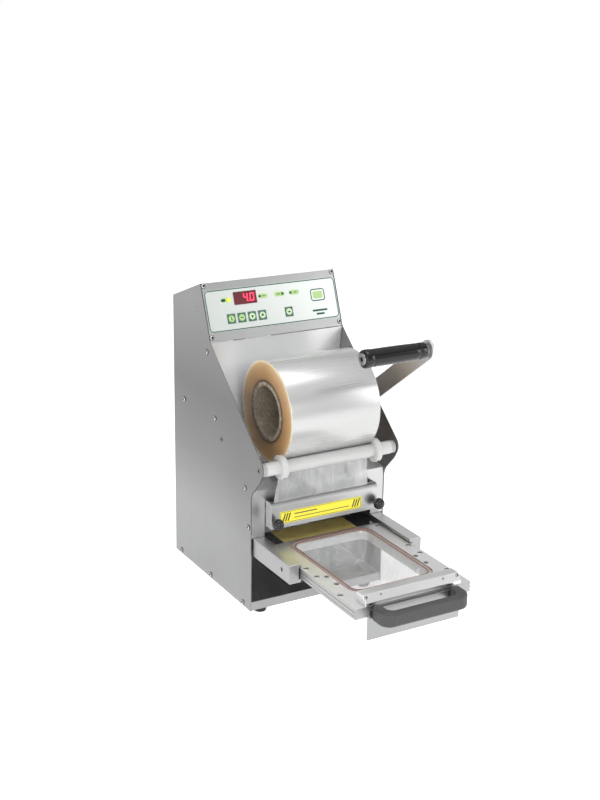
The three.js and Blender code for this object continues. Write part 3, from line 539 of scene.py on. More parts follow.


# painted reflection on the side panels: tone by height, darkest in a band part way up
panelPaintedReflection = ((0.0, 1.0), (0.22, 0.94), (0.42, 0.62), (0.62, 0.5), (0.9, 0.9))
makers = {
    # direction of the grain, tone, roughness, painted reflection by height
    brushedSteel: {
        "sheetUpright": ("z", 0.31, 0.27, panelPaintedReflection),
        "sheetAcross": ("x", 0.56, 0.3),
        # painted light: a pale sheet for the base tray's shaded inside
        "sheetDeep": ("y", 0.9, 0.36),
        "sheetInside": ("z", 0.3, 0.42),
        "armSteel": ("y", 0.72, 0.45),
        "coverSheet": ("z", 0.44, 0.27),
        "fasciaSheet": ("x", 0.62, 0.3),
        "baySheet": ("x", 0.97, 0.48),
        # also painted shade on the lever arm's outer face and the base tray's front lip
        "skirtSheet": ("x", 0.38, 0.32),
    },
    # tone, roughness
    satinAluminium: {
        "aluminium": (0.92, 0.46),
        "paleAluminium": (0.9, 0.3),
        "railAluminium": (0.85, 0.36),
        # painted shade: a darker aluminium for the upright faces of the rails and the mould plate
        "railSide": (0.4, 0.4),
    },
    turnedMetal: {
        "boltSteel": (0.3, 0.28),
        "turnedSteel": (0.55, 0.24),
        "darkSteel": (0.2, 0.32),
        "springWire": (0.32, 0.36),
    },
    # colour, glow
    printedInk: {
        "inkGreen": ((0.014, 0.1, 0.055),),
        "inkLight": ((0.44, 0.62, 0.26),),
        "inkPale": ((0.62, 0.74, 0.5),),
        # black ink for print; also painted shade in sockets and bores, round screw heads and under the
        # handle's legs
        "inkBlack": ((0.012, 0.012, 0.012),),
        "inkGrey": ((0.12, 0.11, 0.06),),
        "keyFoil": ((0.06, 0.17, 0.105),),
        # the label's faint glow is painted light
        "labelYellow": ((1.0, 0.88, 0.07), 0.05),
        "lampLit": ((0.85, 0.85, 0.06), 0.25),
        "digitLit": ((1.0, 0.03, 0.08), 2.2),
    },
    # colour, roughness, scale of the grain, relief, coat, variety
    mouldedPlastic: {
        "whiteAcetal": ((0.6, 0.6, 0.595), 0.24, 1500, 0.00001, 0.5, 0.05),
        "bushGrey": ((0.42, 0.42, 0.415), 0.3, 1500, 0.00001, 0.3, 0.05),
        "knobGloss": ((0.004, 0.004, 0.0045), 0.08, 260, 0.00001, 0.3, 0.1),
        "blackGloss": ((0.004, 0.004, 0.0045), 0.16, 260, 0.00001, 0.0, 0.2),
        "blackPlastic": ((0.02, 0.02, 0.021), 0.45, 1300),
        "greyPlastic": ((0.058, 0.058, 0.058), 0.5, 1100, 0.00006, 0.0, 0.14),
        "rubber": ((0.018, 0.018, 0.018), 0.75, 700, 0.0001, 0.0, 0.25),
    },
    siliconeRubber: {
        "siliconePale": ((0.62, 0.5, 0.46),),
        "siliconeRed": ((0.3, 0.09, 0.06),),
    },
}
finishes = {}
for maker, rows in makers.items():
    for name, values in rows.items():
        finishes[name] = maker(name, *values)
for maker in (screwMetal, overlayFoil, displayGlass, filmSide, filmEnd, clearFilm, cardBoard):
    finishes[maker.__name__] = maker()
for maker in (clearTrayPlastic, glossDeck, circuitBoard, coatedCloth):
    finishes[maker.__name__] = maker()
print("finishes made,", len(finishes))


# ---- ways of making a piece ----

sharpAngle = math.radians(32)
roundedAngle = math.radians(35)
flatAngle = math.radians(0.8)


def piece(name, mesh, paints, body, stands=()):
    made = bpy.data.objects.new(name, mesh)
    bpy.context.scene.collection.objects.link(made)
    chosen = [face.material_index for face in mesh.polygons]
    mesh.materials.clear()
    for paint in paints:
        mesh.materials.append(finishes[paint])
    mesh.polygons.foreach_set("material_index", chosen)
    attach(made, body)
    if stands:
        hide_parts(*stands)
    return made


def stand(node, ending, mesh, paints):
    # a piece in the place of one CAD node, on that node's body
    return piece(node + "_" + ending, mesh, paints, bodyOf[node], [node])


def meshOf(shape, smooth=True):
    # a bmesh turned into a mesh with its faces out and its hard edges kept
    bmesh.ops.recalc_face_normals(shape, faces=shape.faces)
    mesh = bpy.data.meshes.new("mesh")
    shape.to_mesh(mesh)
    shape.free()
    if smooth:
        mesh.shade_smooth()
        mesh.set_sharp_from_angle(angle=sharpAngle)
    return mesh


def settled(work):
    # an object's mesh with its modifiers applied; the object itself goes
    graph = bpy.context.evaluated_depsgraph_get()
    mesh = bpy.data.meshes.new_from_object(work.evaluated_get(graph))
    bpy.data.objects.remove(work)
    return mesh


def workObject(mesh):
    work = bpy.data.objects.new("work", mesh)
    bpy.context.scene.collection.objects.link(work)
    return work


def repainted(mesh, chosen):
    # the second finish on faces picked by their normal and their place in millimetres
    for face in mesh.polygons:
        if chosen(face.normal, (face.center - at(0, 0, 0)) * 1000):
            face.material_index = 1
    return mesh


def walled(mesh, thickness, offset=0):
    # a surface given a thickness in millimetres
    work = workObject(mesh)
    wall = work.modifiers.new("wall", "SOLIDIFY")
    wall.thickness = thickness / 1000
    wall.offset = offset
    return settled(work)


def rounded(work, edge, steps=2):
    rounding = work.modifiers.new("edges", "BEVEL")
    rounding.width = edge / 1000
    rounding.segments = steps
    rounding.limit_method = "ANGLE"
    rounding.angle_limit = roundedAngle


def merged(node):
    shape = bmesh.new()
    shape.from_mesh(nodes[node].data)
    bmesh.ops.remove_doubles(shape, verts=shape.verts, dist=1e-6)
    bmesh.ops.dissolve_limit(shape, angle_limit=flatAngle, verts=shape.verts, edges=shape.edges)
    return shape


def softened(node, edge, steps=2, cuts=None):
    # a merged copy of a CAD node with its edges rounded, after any cuts
    mesh = meshOf(merged(node), smooth=False)
    work = workObject(mesh)
    if cuts is not None:
        tool = workObject(cuts)
        cutter = work.modifiers.new("cut", "BOOLEAN")
        cutter.operation = "DIFFERENCE"
        cutter.solver = "EXACT"
        cutter.object = tool
        mesh = settled(work)
        bpy.data.objects.remove(tool)
        work = workObject(mesh)
    mesh.shade_smooth()
    rounded(work, edge, steps)
    weighing = work.modifiers.new("normals", "WEIGHTED_NORMAL")
    weighing.weight = 100
    return settled(work)


def turned(profile, centre, axis="x", sides=72):
    # (radius, station) pairs in millimetres turned about an axis through a point
    shape = bmesh.new()
    order = {"x": (1, 2, 0), "y": (2, 0, 1), "z": (0, 1, 2)}[axis]
    closed = profile[0] == profile[-1]
    rings = []
    for radius, station in profile[:-1] if closed else profile:
        ring = []
        for step in range(sides if radius > 0 else 1):
            angle = 2 * math.pi * step / sides
            spot = [0.0, 0.0, 0.0]
            spot[order[0]] = centre[order[0]] + radius * math.cos(angle)
            spot[order[1]] = centre[order[1]] + radius * math.sin(angle)
            spot[order[2]] = station
            ring.append(shape.verts.new(at(*spot)))
        rings.append(ring)
    pairs = list(zip(rings, rings[1:] + rings[:1] if closed else rings[1:]))
    for first, second in pairs:
        for step in range(sides):
            after = (step + 1) % sides
            if len(first) == 1 and len(second) > 1:
                shape.faces.new((first[0], second[step], second[after]))
            elif len(second) == 1 and len(first) > 1:
                shape.faces.new((first[step], second[0], first[after]))
            elif len(first) > 1:
                shape.faces.new((first[step], second[step], second[after], first[after]))
    return shape


def bridged(shape, rows, closed=True):
    # four-cornered faces between neighbouring rows of points
    for first, second in zip(rows, rows[1:]):
        count = len(first)
        for step in range(count if closed else count - 1):
            after = (step + 1) % count
            shape.faces.new((first[step], first[after], second[after], second[step]))


def slab(outlines, low, high, place):
    # flat prisms from outlines in a plane; place(u, v, lift) gives their points
    shape = bmesh.new()
    for outline in outlines:
        bottom = [shape.verts.new(place(u, v, low)) for u, v in outline]
        top = [shape.verts.new(place(u, v, high)) for u, v in outline]
        shape.faces.new(bottom)
        shape.faces.new(top)
        bridged(shape, (bottom, top))
    return shape


def boxOutline(u0, u1, v0, v1):
    return [(u0, v0), (u1, v0), (u1, v1), (u0, v1)]


def roundOutline(u0, u1, v0, v1, radius, steps=6):
    points = []
    corners = [(u1 - radius, v0 + radius), (u1 - radius, v1 - radius), (u0 + radius, v1 - radius)]
    corners.append((u0 + radius, v0 + radius))
    for turn, (u, v) in enumerate(corners):
        for step in range(steps + 1):
            angle = math.pi / 2 * (turn - 1 + step / steps)
            points.append((u + radius * math.cos(angle), v + radius * math.sin(angle)))
    return points


def discOutline(u, v, radius, sides=32, stretch=1.0):
    turns = [2 * math.pi * step / sides for step in range(sides)]
    return [(u + radius * stretch * math.cos(a), v + radius * math.sin(a)) for a in turns]


def frameShape(outer, inner, low, high, place):
    # a flat ring between two outlines with the same number of points
    shape = bmesh.new()
    loops = []
    for outline, lift in ((outer, low), (outer, high), (inner, high), (inner, low)):
        loops.append([shape.verts.new(place(u, v, lift)) for u, v in outline])
    bridged(shape, loops + loops[:1])
    return shape


def roundFrame(box, radius, width, low, high, place, inner=None, steps=6):
    # a flat border of one width with rounded corners
    u0, u1, v0, v1 = box
    if inner is None:
        inner = radius - width
    inside = roundOutline(u0 + width, u1 - width, v0 + width, v1 - width, inner, steps)
    return frameShape(roundOutline(*box, radius, steps), inside, low, high, place)


def boxes(places):
    # several plain boxes in one mesh, as cutters; each is (x0, x1, y0, y1, z0, z1)
    shape = bmesh.new()
    for x0, x1, y0, y1, z0, z1 in places:
        size = Matrix.Diagonal(((x1 - x0) / 1000, (y1 - y0) / 1000, (z1 - z0) / 1000, 1))
        centre = at((x0 + x1) / 2, (y0 + y1) / 2, (z0 + z1) / 2)
        bmesh.ops.create_cube(shape, size=1, matrix=Matrix.Translation(centre) @ size)
    return shape


def joined(*shapes):
    total = bmesh.new()
    for shape in shapes:
        mesh = bpy.data.meshes.new("part")
        shape.to_mesh(mesh)
        shape.free()
        total.from_mesh(mesh)
        bpy.data.meshes.remove(mesh)
    return total


def swept(points, radius):
    # a round tube of a radius in millimetres along a closed line of points in metres
    curve = bpy.data.curves.new("line", "CURVE")
    curve.dimensions = "3D"
    curve.bevel_depth = radius / 1000
    curve.bevel_resolution = 2
    spline = curve.splines.new("POLY")
    spline.points.add(len(points) - 1)
    for spot, point in zip(spline.points, points):
        spot.co = (*point, 1)
    spline.use_cyclic_u = True
    mesh = settled(workObject(curve))
    mesh.shade_smooth()
    return mesh


def geometryTree(name, inputs):
    # an empty geometry tree's graph, and a wire from each of its named inputs
    tree = bpy.data.node_groups.new(name, "GeometryNodeTree")
    for title, kind in inputs.items():
        tree.interface.new_socket(title, in_out="INPUT", socket_type="NodeSocket" + kind)
    tree.interface.new_socket("Geometry", in_out="OUTPUT", socket_type="NodeSocketGeometry")
    graph = Graph(tree)
    entry = tree.nodes.new("NodeGroupInput")
    return graph, {socket.name: Wire(graph, socket) for socket in entry.outputs if socket.name}


def treeEnd(graph, geometry, finish):
    real = graph.node("GeometryNodeRealizeInstances", sockets={0: geometry})
    done = graph.node("GeometryNodeSetMaterial", sockets={"Geometry": real, "Material": finish})
    graph.node("NodeGroupOutput", sockets={0: done})
    return graph.tree


def scatterTree():
    # copies of one small mesh on points, each facing along its own attribute
    inputs = {"Points": "Geometry", "Copy": "Object", "Seed": "Int", "Spin": "Float", "Finish": "Material"}
    graph, given = geometryTree("copiesOnPoints", inputs)
    facing = graph.node(
        "GeometryNodeInputNamedAttribute", {"data_type": "FLOAT_VECTOR"}, {"Name": "facing"}
    )
    size = graph.node("GeometryNodeInputNamedAttribute", {"data_type": "FLOAT"}, {"Name": "size"})
    aimed = graph.node("FunctionNodeAlignRotationToVector", {"axis": "Z"}, {"Vector": facing})
    spin = graph.node(
        "FunctionNodeRandomValue", {"data_type": "FLOAT"}, {2: 0.0, 3: given["Spin"], 8: given["Seed"]}, 1
    )
    turn = graph.node("ShaderNodeCombineXYZ", sockets={"Z": spin})
    turn = graph.node("FunctionNodeEulerToRotation", sockets={0: turn})
    turned = graph.node(
        "FunctionNodeRotateRotation", {"rotation_space": "LOCAL"}, {"Rotation": aimed, "Rotate By": turn}
    )
    copy = graph.node("GeometryNodeObjectInfo", sockets={"Object": given["Copy"]}, output="Geometry")
    spots = graph.node("GeometryNodeMeshToPoints", sockets={"Mesh": given["Points"]})
    copies = graph.node(
        "GeometryNodeInstanceOnPoints",
        sockets={"Points": spots, "Instance": copy, "Rotation": turned, "Scale": size},
    )
    return treeEnd(graph, copies, given["Finish"])


def giveInputs(modifier, values):
    # by the socket's identifier, before the object is evaluated
    for item in modifier.node_group.interface.items_tree:
        if item.in_out == "INPUT" and item.name in values:
            modifier[item.identifier] = values[item.name]


copyTree = scatterTree()


def paintedShadowRings(name, places, body, wider=1.22):
    # painted shadow: a thin black disc round each head, or at the bottom of a bore
    shape = bmesh.new()
    for x, y, z, facing, size in places:
        turn = facing.to_track_quat("Z", "Y").to_matrix().to_4x4()
        spot = Matrix.Translation(at(x, y, z)) @ turn
        radius = size * wider / 1000
        bmesh.ops.create_cone(
            shape, cap_ends=True, segments=28, radius1=radius, radius2=radius, depth=0.0003, matrix=spot
        )
    piece(name, meshOf(shape), ["inkBlack"], body)


def copiesOn(name, copyMesh, places, paint, body, seed=1, spin=0.0):
    # places are (x, y, z, facing, size); one finished piece comes back
    mesh = bpy.data.meshes.new("points")
    mesh.from_pydata([at(*place[:3]) for place in places], [], [])
    mesh.attributes.new("facing", "FLOAT_VECTOR", "POINT")
    mesh.attributes.new("size", "FLOAT", "POINT")
    # fetched by name, since adding the second moves the first
    facing, size = mesh.attributes["facing"], mesh.attributes["size"]
    for index, place in enumerate(places):
        facing.data[index].vector = place[3]
        size.data[index].value = place[4]
    master = workObject(copyMesh.copy())
    work = workObject(mesh)
    modifier = work.modifiers.new("copies", "NODES")
    modifier.node_group = copyTree
    values = {"Copy": master, "Seed": seed, "Spin": spin, "Finish": finishes[paint]}
    giveInputs(modifier, values)
    made = settled(work)
    bpy.data.objects.remove(master)
    return piece(name, made, [paint], body)


def turnedPiece(node, ending, profile, paint, axis="x", sides=72):
    stand(node, ending, meshOf(turned(profile, middle(node), axis, sides)), [paint])


# ---- sheet and block pieces that keep their CAD shape ----

# node: finish, slot, edge radius; a star stands for left and right
shaped = {
    "rear_cover": ("coverSheet", "stainless", 0.35),
    "control_fascia": ("fasciaSheet", "stainless", 0.3),
    "front_panel": ("sheetAcross", "stainless", 0.3),
    "bay_back_plate": ("baySheet", "stainless", 0.25),
    "heater_plate": ("aluminium", "aluminium", 0.5),
    "knife_frame": ("turnedSteel", "steel", 0.15),
    "head_carriage": ("aluminium", "aluminium", 0.5),
    "head_cover": ("sheetAcross", "stainless", 0.35),
    "bearing_plate_*": ("darkSteel", "steel", 0.3),
    "rack_*": ("darkSteel", "steel", 0.12),
    "pinion_*": ("turnedSteel", "steel", 0.12),
    "rail_liner_*": ("blackPlastic", "black_plastic", 0.15),
    "deck_plate": ("glossDeck", "dark_deck", 0.15),
    "skirt_plate": ("skirtSheet", "stainless", 0.4),
    "control_board": ("circuitBoard", "circuit_board", 0.15),
    "display_window": ("displayGlass", "display_window", 0.2),
}
for pattern, (paint, slot, edge) in shaped.items():
    for node in sorted({pattern.replace("*", word) for word in ("left", "right")}):
        stand(node, "finished", softened(node, edge), [paint])
for word, side in (("left", -1), ("right", 1)):
    node = word + "_side_panel"
    mesh = repainted(softened(node, 0.4, 3), lambda normal, spot: normal.x * side < -0.7)
    stand(node, "finished", mesh, ["sheetUpright", "sheetInside"])
print("sheet and block pieces made")


# ---- screws ----

screwHead = {"sides": 24, "socket": 0.56, "crown": 0.5}


def headMesh():
    # a button head of radius 1 with a hexagon socket; its points carry a painted shade mark, dark round the
    # rim and in the socket
    shape = bmesh.new()
    sides, socket, crown = screwHead.values()
    # radius, height, painted shade
    rings = [(1.0, -0.1, 1), (1.0, 0.12, 0.9), (0.93, 0.26, 0.4), (0.8, 0.4, 0), (socket + 0.08, crown, 0)]
    rings += [(socket, crown, 0.6), (socket * 0.94, 0.02, 1)]
    loops = []
    for radius, height, mark in rings:
        loop = []
        for step in range(sides):
            angle = 2 * math.pi * step / sides
            flat = math.cos(math.pi / 6) / math.cos((angle % (math.pi / 3)) - math.pi / 6)
            reach = radius * flat if radius <= socket else radius
            loop.append(shape.verts.new((reach * math.cos(angle), reach * math.sin(angle), height)))
        loops.append(loop)
    bridged(shape, loops)
    shape.faces.new(loops[-1])
    shape.faces.new(list(reversed(loops[0])))
    mesh = meshOf(shape)
    marks = [float(mark) for radius, height, mark in rings for step in range(sides)]
    mesh.attributes.new("recess", "FLOAT", "POINT").data.foreach_set("value", marks)
    mesh.transform(Matrix.Scale(0.001, 4))
    return mesh


buttonHead = headMesh()
across = Vector((1, 0, 0))
forward = Vector((0, -1, 0))
upward = Vector((0, 0, 1))


def screws(name, spots, seed, body="root"):
    copiesOn(name, buttonHead, spots, "screwMetal", body, seed, 1.0)


def mirrored(places):
    return [(side * x, y) for side in (-1, 1) for x, y in places]


# size, then places back from the front and up
sideScrews = {
    3.6: [(141.4, 364.5), (221.9, 267.8), (115.6, 267.9), (18.6, 190.6), (7.2, 132.7)]
    + [(238.0, 5.4), (131.8, 5.4), (23.8, 5.4)],
    1.1: [(178.0, 423.6), (178.0, 416.6)],
}
shadowedFrom = 2.0
spots = []
for side, edge in ((-1, leftPanel[0].x), (1, rightPanel[1].x)):
    for size, places in sideScrews.items():
        spots += [((edge - middleX) * 1000, y, z, across * side, size) for y, z in places]
# painted shadows: black rings round the larger side screw heads
paintedShadowRings("side_screw_seats", [spot for spot in spots if spot[4] > shadowedFrom], "root")
screws("side_screws", spots, 4)

panel = {"thick": 0.3, "length": 89.4, "size": 3.7, "across": (-110.2, 110.2), "up": (7.4, 85.4)}
panelTilt = math.radians(21.2)
tiltSin, tiltCos = math.sin(panelTilt), math.cos(panelTilt)
panelLow, panelHigh = span("control_fascia")
panelFoot = (panelLow.y - panel["thick"] * tiltSin, panelHigh.z - panel["length"] * tiltCos)
panelOut = Vector((0, -tiltCos, tiltSin))


def onPanel(x, up, lift=0.0):
    return at(x, panelFoot[0] + up * tiltSin - lift * tiltCos, panelFoot[1] + up * tiltCos + lift * tiltSin)


def panelHeight(z, face=0.0):
    # how far up the slope a height is, on a face that stands off the panel
    return (z - panelFoot[1] - face * tiltSin) / tiltCos


spots = []
for x in panel["across"]:
    for up in panel["up"]:
        spots.append((*((onPanel(x, up) - at(0, 0, 0)) * 1000), panelOut, panel["size"]))
# painted shadows: black rings round the fascia screw heads
paintedShadowRings("fascia_screw_seats", spots, "root", 1.1)
screws("fascia_screws", spots, 9)

topLow, topHigh = span("rear_cover")
topSlope = Vector((0, tiltSin, tiltCos))
backScrews = {"size": 2.8, "x": 108.0, "heights": (22.0, 150.0, 290.0, 400.0), "backs": (12.0, 84.0)}
spots = []
for x in (-backScrews["x"], backScrews["x"]):
    for z in backScrews["heights"]:
        spots.append((x, topHigh.y, z, -forward, backScrews["size"]))
    for back in backScrews["backs"]:
        y, z = topLow.y + back * tiltCos, topHigh.z - back * tiltSin
        spots.append((x, y, z, topSlope, backScrews["size"]))
screws("cover_screws", spots, 2)
print("panels and their screws made")


# ---- control panel ----

overlay = {"face": 0.7, "margin": 0.5, "line": 1.5, "corner": 6.0}
lift = overlay["face"] - 0.02
proud = overlay["face"] + 0.06


def printed(name, outlines, paint, low=lift, high=proud, body="root", slot="overlay_foil"):
    piece(name, meshOf(slab(outlines, low, high, onPanel), False), [paint], body)


def panelArt():
    low, high = span("control_overlay")
    foil = softened("control_overlay", 0.12)
    piece("overlay_foil", foil, ["overlayFoil"], "root", ["control_overlay"])
    inset = overlay["margin"]
    bottom, top = panelHeight(low.z), panelHeight(high.z, overlay["face"])
    box = (low.x + inset, high.x - inset, bottom + inset, top - inset)
    border = roundFrame(box, overlay["corner"], overlay["line"], lift, proud, onPanel)
    piece("overlay_border", meshOf(border, False), ["inkGreen"], "root")


panelArt()

signals = {
    "row": 60.6,
    "tall": 3.7,
    # middle, half length, where its dark mark is, from the middle
    "pills": [(-77.6, 8.6, -3.4), (-15.4, 8.2, -5.2), (13.2, 8.8, 5.4), (38.8, 8.8, -6.2)],
    "mark": 1.9,
    "lamp": (-72.8, 3.1),
}


def signalLights():
    row, tall = signals["row"], signals["tall"]
    pale = []
    marks = []
    bars = []
    for centre, half, mark in signals["pills"]:
        pale.append(roundOutline(centre - half, centre + half, row - tall, row + tall, tall - 0.1))
        marks.append(discOutline(centre + mark, row, signals["mark"], 20, 1.25))
        inwards = -1 if mark > 0 else 1
        ends = sorted((centre - inwards, centre + inwards * 4.4))
        if bars:
            bars.append(boxOutline(*ends, row - 0.6, row + 0.6))
        else:
            bars.append(roundOutline(centre - half, centre - 1, row - 2.2, row + 2.2, 2.1))
    printed("signal_pills", pale, "inkLight")
    printed("signal_marks", marks + bars, "inkGreen", high=proud + 0.06)
    x, radius = signals["lamp"]
    printed("signal_lamp", [discOutline(x, row, radius, 28)], "lampLit", high=proud + 0.2)


signalLights()

# A tray drawn from above over a short rule, as a plain trade sign.
badge = {"x": 79.2, "up": 52.5, "width": 25.0, "height": 19.0, "line": 1.6, "rule": (66.0, 92.5, 27.0, 30.0)}


def makeBadge():
    x, up = badge["x"], badge["up"]
    half, rise = badge["width"] / 2, badge["height"] / 2
    ring = roundFrame((x - half, x + half, up - rise, up + rise), 4.5, badge["line"], lift, proud, onPanel)
    x0, x1, low, high = badge["rule"]
    bars = [roundOutline(x0, x1, low, high, 1.4), roundOutline(x0 + 6, x1 - 6, low - 5.5, high - 5.5, 1.4)]
    sign = joined(ring, slab(bars, lift, proud, onPanel))
    piece("panel_sign", meshOf(sign, False), ["inkGreen"], "root")
    half, rise = half - 4, rise - 4
    printed("panel_sign_field", [roundOutline(x - half, x + half, up - rise, up + rise, 2.0)], "inkLight")


makeBadge()

segmentsOf = {"4": "bcfg", "0": "abcdef"}
digit = {"width": 7.4, "height": 12.6, "bar": 1.7, "gap": 0.35}
digitSlant = 0.08


def digitOutlines(number, left, low):
    # the lit bars of a seven-bar figure, leaning a little
    w, h, b, g = digit.values()
    half = h / 2
    level = {"a": h - b, "g": half - b / 2, "d": 0.0}
    upright = {"f": (0.0, half), "b": (w - b, half), "e": (0.0, 0.0), "c": (w - b, 0.0)}
    bars = []
    for bar in segmentsOf[number]:
        if bar in level:
            bars.append(boxOutline(b + g, w - b - g, level[bar], level[bar] + b))
        else:
            u, v = upright[bar]
            bars.append(boxOutline(u, u + b, v + g, v + half - g))
    return [[(left + u + (v * digitSlant), low + v) for u, v in bar] for bar in bars]


def makeDigits():
    low, high = span("display_window")
    face = 1.2
    base = panelHeight(low.z) + 3.4
    second = high.x - 3.6 - digit["width"] - 1
    first = second - digit["width"] - 3.4
    bars = digitOutlines("4", first, base) + digitOutlines("0", second, base)
    point = first + digit["width"] + 1.2
    bars.append(boxOutline(point, point + 1.5, base, base + 1.5))
    printed("display_digits", bars, "digitLit", face - 0.02, face + 0.08, slot="display_window")


makeDigits()


def keySign(number, x, up):
    # dark marks on each key's pale disc: power, minus, down, up and tray
    if number == 1:
        return [boxOutline(x - 0.6, x + 0.6, up - 0.2, up + 3.2), discOutline(x, up - 1.6, 1.2, 16)]
    if number == 2:
        return [boxOutline(x - 2.6, x + 2.6, up - 0.7, up + 0.7)]
    if number in (3, 4):
        point = 3.3 if number == 4 else -3.3
        return [[(x - 2.7, up - point * 0.4), (x, up + point), (x + 2.7, up - point * 0.4)]]
    return [[(x - 3 + 6 * step / 10, up + 0.8 - 2.6 * math.sin(math.pi * step / 10)) for step in range(11)]]


keyFace = 1.3
keyDepth = 2.5
for number in range(1, 6):
    node = f"key_{number}"
    centre = middle(node)
    x, up = centre.x, panelHeight(centre.z, (keyFace - keyDepth) / 2)
    stand(node, "cap", softened(node, 0.35, 3), ["keyFoil"])
    pale = "inkPale" if number > 2 else "inkLight"
    ride = {"body": node, "slot": "key_pad"}
    printed(node + "_disc", [discOutline(x, up, 5.0, 36)], pale, keyFace - 0.02, keyFace + 0.05, **ride)
    printed(node + "_sign", keySign(number, x, up), "inkGreen", keyFace + 0.04, keyFace + 0.1, **ride)
print("control panel made")


# ---- film roll, rollers and web ----

rollFace = {"ridges": 26, "unevenness": 0.22, "seed": 3, "sides": 144}


def filmRoll():
    centre, half = sizes("film_roll")[2:]
    end, outside = half.x, half.z
    inside = sizes("roll_core")[3].z + 0.2
    dice = random.Random(rollFace["seed"])
    ends = []
    for index in range(rollFace["ridges"] + 1):
        radius = inside + (outside - 0.7 - inside) * index / rollFace["ridges"]
        ends.append((radius, end - dice.uniform(0, rollFace["unevenness"])))
    profile = [(radius, -station) for radius, station in ends]
    profile += [(outside - 0.2, -end + 0.5), (outside, -end + 1.2), (outside, end - 1.2)]
    profile += [(outside - 0.2, end - 0.5), *reversed(ends), profile[0]]
    mesh = meshOf(turned(profile, centre, "x", rollFace["sides"]))
    axis = at(*centre)

    def reach(place):
        return math.hypot(place.y - axis.y, place.z - axis.z) * 1000

    outward = mesh.attributes.new("outward", "FLOAT", "POINT")
    shares = [(reach(vertex.co) - inside) / (outside - inside) for vertex in mesh.vertices]
    outward.data.foreach_set("value", [min(1.0, max(0.0, share)) for share in shares])
    for face in mesh.polygons:
        face.material_index = 0 if reach(face.center) > outside - 0.5 else 1
    stand("film_roll", "wound", mesh, ["filmSide", "filmEnd"])


def rollCore():
    half = sizes("roll_core")[3]
    end, outside = half.x, half.z
    inside = outside - 5.7
    profile = [(inside + 0.4, -end), (outside - 0.4, -end), (outside, -end + 0.5), (outside, end - 0.5)]
    profile += [(outside - 0.4, end), (inside + 0.4, end), (inside, end - 0.5), (inside, -end + 0.5)]
    turnedPiece("roll_core", "card", profile + profile[:1], "cardBoard", "x", 96)


filmRoll()
rollCore()

roller = {"radius": 10.0, "bush": 9.6, "journal": 4.0, "socket": 2.1, "bushLength": 7.5, "stub": 2.8}


def rollerRod(node):
    centre, size = sizes(node)[2:]
    radius, bush, journal, socket, bushLength, stub = roller.values()
    tip = size.x
    shoulder = tip - stub
    half = [(0, tip - 3.5), (socket, tip - 3.5), (socket, tip - 0.2), (journal - 0.4, tip)]
    half += [(journal, tip - 0.4), (journal, shoulder), (bush - 0.6, shoulder), (bush, shoulder - 0.6)]
    half += [(bush, shoulder - bushLength), (radius - 0.3, shoulder - 7.6), (radius, shoulder - 8.0)]
    profile = half + [(r, -station) for r, station in reversed(half)]
    mesh = meshOf(turned(profile, centre, "x", 72))
    axis = at(*centre)
    for face in mesh.polygons:
        offset = (face.center - axis) * 1000
        if abs(offset.x) > shoulder + 0.1:
            # painted shade: the faces down in the end socket are black
            face.material_index = 3 if math.hypot(offset.y, offset.z) < socket else 2
        elif abs(offset.x) > shoulder - bushLength:
            face.material_index = 1
    stand(node, "rod", mesh, ["whiteAcetal", "bushGrey", "darkSteel", "inkBlack"])


rollerRod("front_roller")
rollerRod("rear_roller")


def collar(word):
    # a stop ring; its screw's place comes back
    node = "roller_collar_" + word
    low, high, centre, half = sizes(node)
    outside = half.z
    inside = roller["radius"] + 0.15
    step = 0.9
    profile = [(inside, low.x), (outside - 3, low.x), (outside - 2.4, low.x + 0.3)]
    profile += [(outside - step, low.x + 0.3), (outside, low.x + 0.3 + step), (outside, high.x - step)]
    profile += [(outside - step, high.x), (inside + 0.6, high.x), (inside, high.x - 0.6), (inside, low.x)]
    turnedPiece(node, "ring", profile, "whiteAcetal")
    aim = math.radians(228)
    direction = Vector((0, math.cos(aim), math.sin(aim)))
    return (*(centre + direction * (outside - 0.35)), direction, 1.9)


collarScrews = [collar("left"), collar("right")]
copiesOn("collar_screws", buttonHead, collarScrews, "darkSteel", "front_roller", seed=6)

web = {"across": 90, "down": 56, "bend": 22, "thickness": 0.16, "wrinkle": 0.72}
web.update({"flareLeft": 11.0, "flareRight": 2.2})


def filmWeb():
    # from the roll's nip round the back of the roller, then down into the head's slit, with soft wrinkles
    low, high = span("film_web")
    rod = middle("front_roller")
    reach = roller["radius"] + 0.55
    slitY = low.y + 0.15
    slitTop = span("head_cover")[1].z + 2.5
    nip = math.atan2(high.z - rod.z, high.y - rod.y) + 0.25
    leaves = math.radians(-6)
    path = []
    for step in range(web["bend"] + 1):
        angle = nip + (leaves - nip) * step / web["bend"]
        path.append((rod.y + reach * math.cos(angle), rod.z + reach * math.sin(angle)))
    startY, startZ = path[-1]
    steps = web["down"] - web["bend"]
    for step in range(1, steps + 1):
        z = startZ + (low.z - startZ) * step / steps
        along = min(1.0, (startZ - z) / (startZ - slitTop))
        path.append((startY + (slitY - startY) * along, z))
    shape = bmesh.new()
    grid = []
    for y, z in path:
        fallen = max(0.0, min(1.0, (startZ - z) / (startZ - slitTop)))
        slack = math.sin(math.pi * fallen) if z > slitTop else 0.0
        left = low.x - web["flareLeft"] * fallen
        right = high.x + web["flareRight"] * fallen
        row = []
        for column in range(web["across"] + 1):
            u = column / web["across"]
            fold = math.sin(9 * u + 2.2 * fallen) + 0.6 * math.sin(23 * u - 5 * fallen + 1.0)
            fold += 1.5 * math.exp(-(((u - 0.72) / 0.05) ** 2)) - 1.2 * math.exp(-(((u - 0.82) / 0.04) ** 2))
            row.append(shape.verts.new(at(left + (right - left) * u, y + web["wrinkle"] * slack * fold, z)))
        grid.append(row)
    bridged(shape, grid, closed=False)
    stand("film_web", "sheet", walled(meshOf(shape), web["thickness"]), ["clearFilm"])


filmWeb()
print("film, rollers and web made")


# ---- lever ----

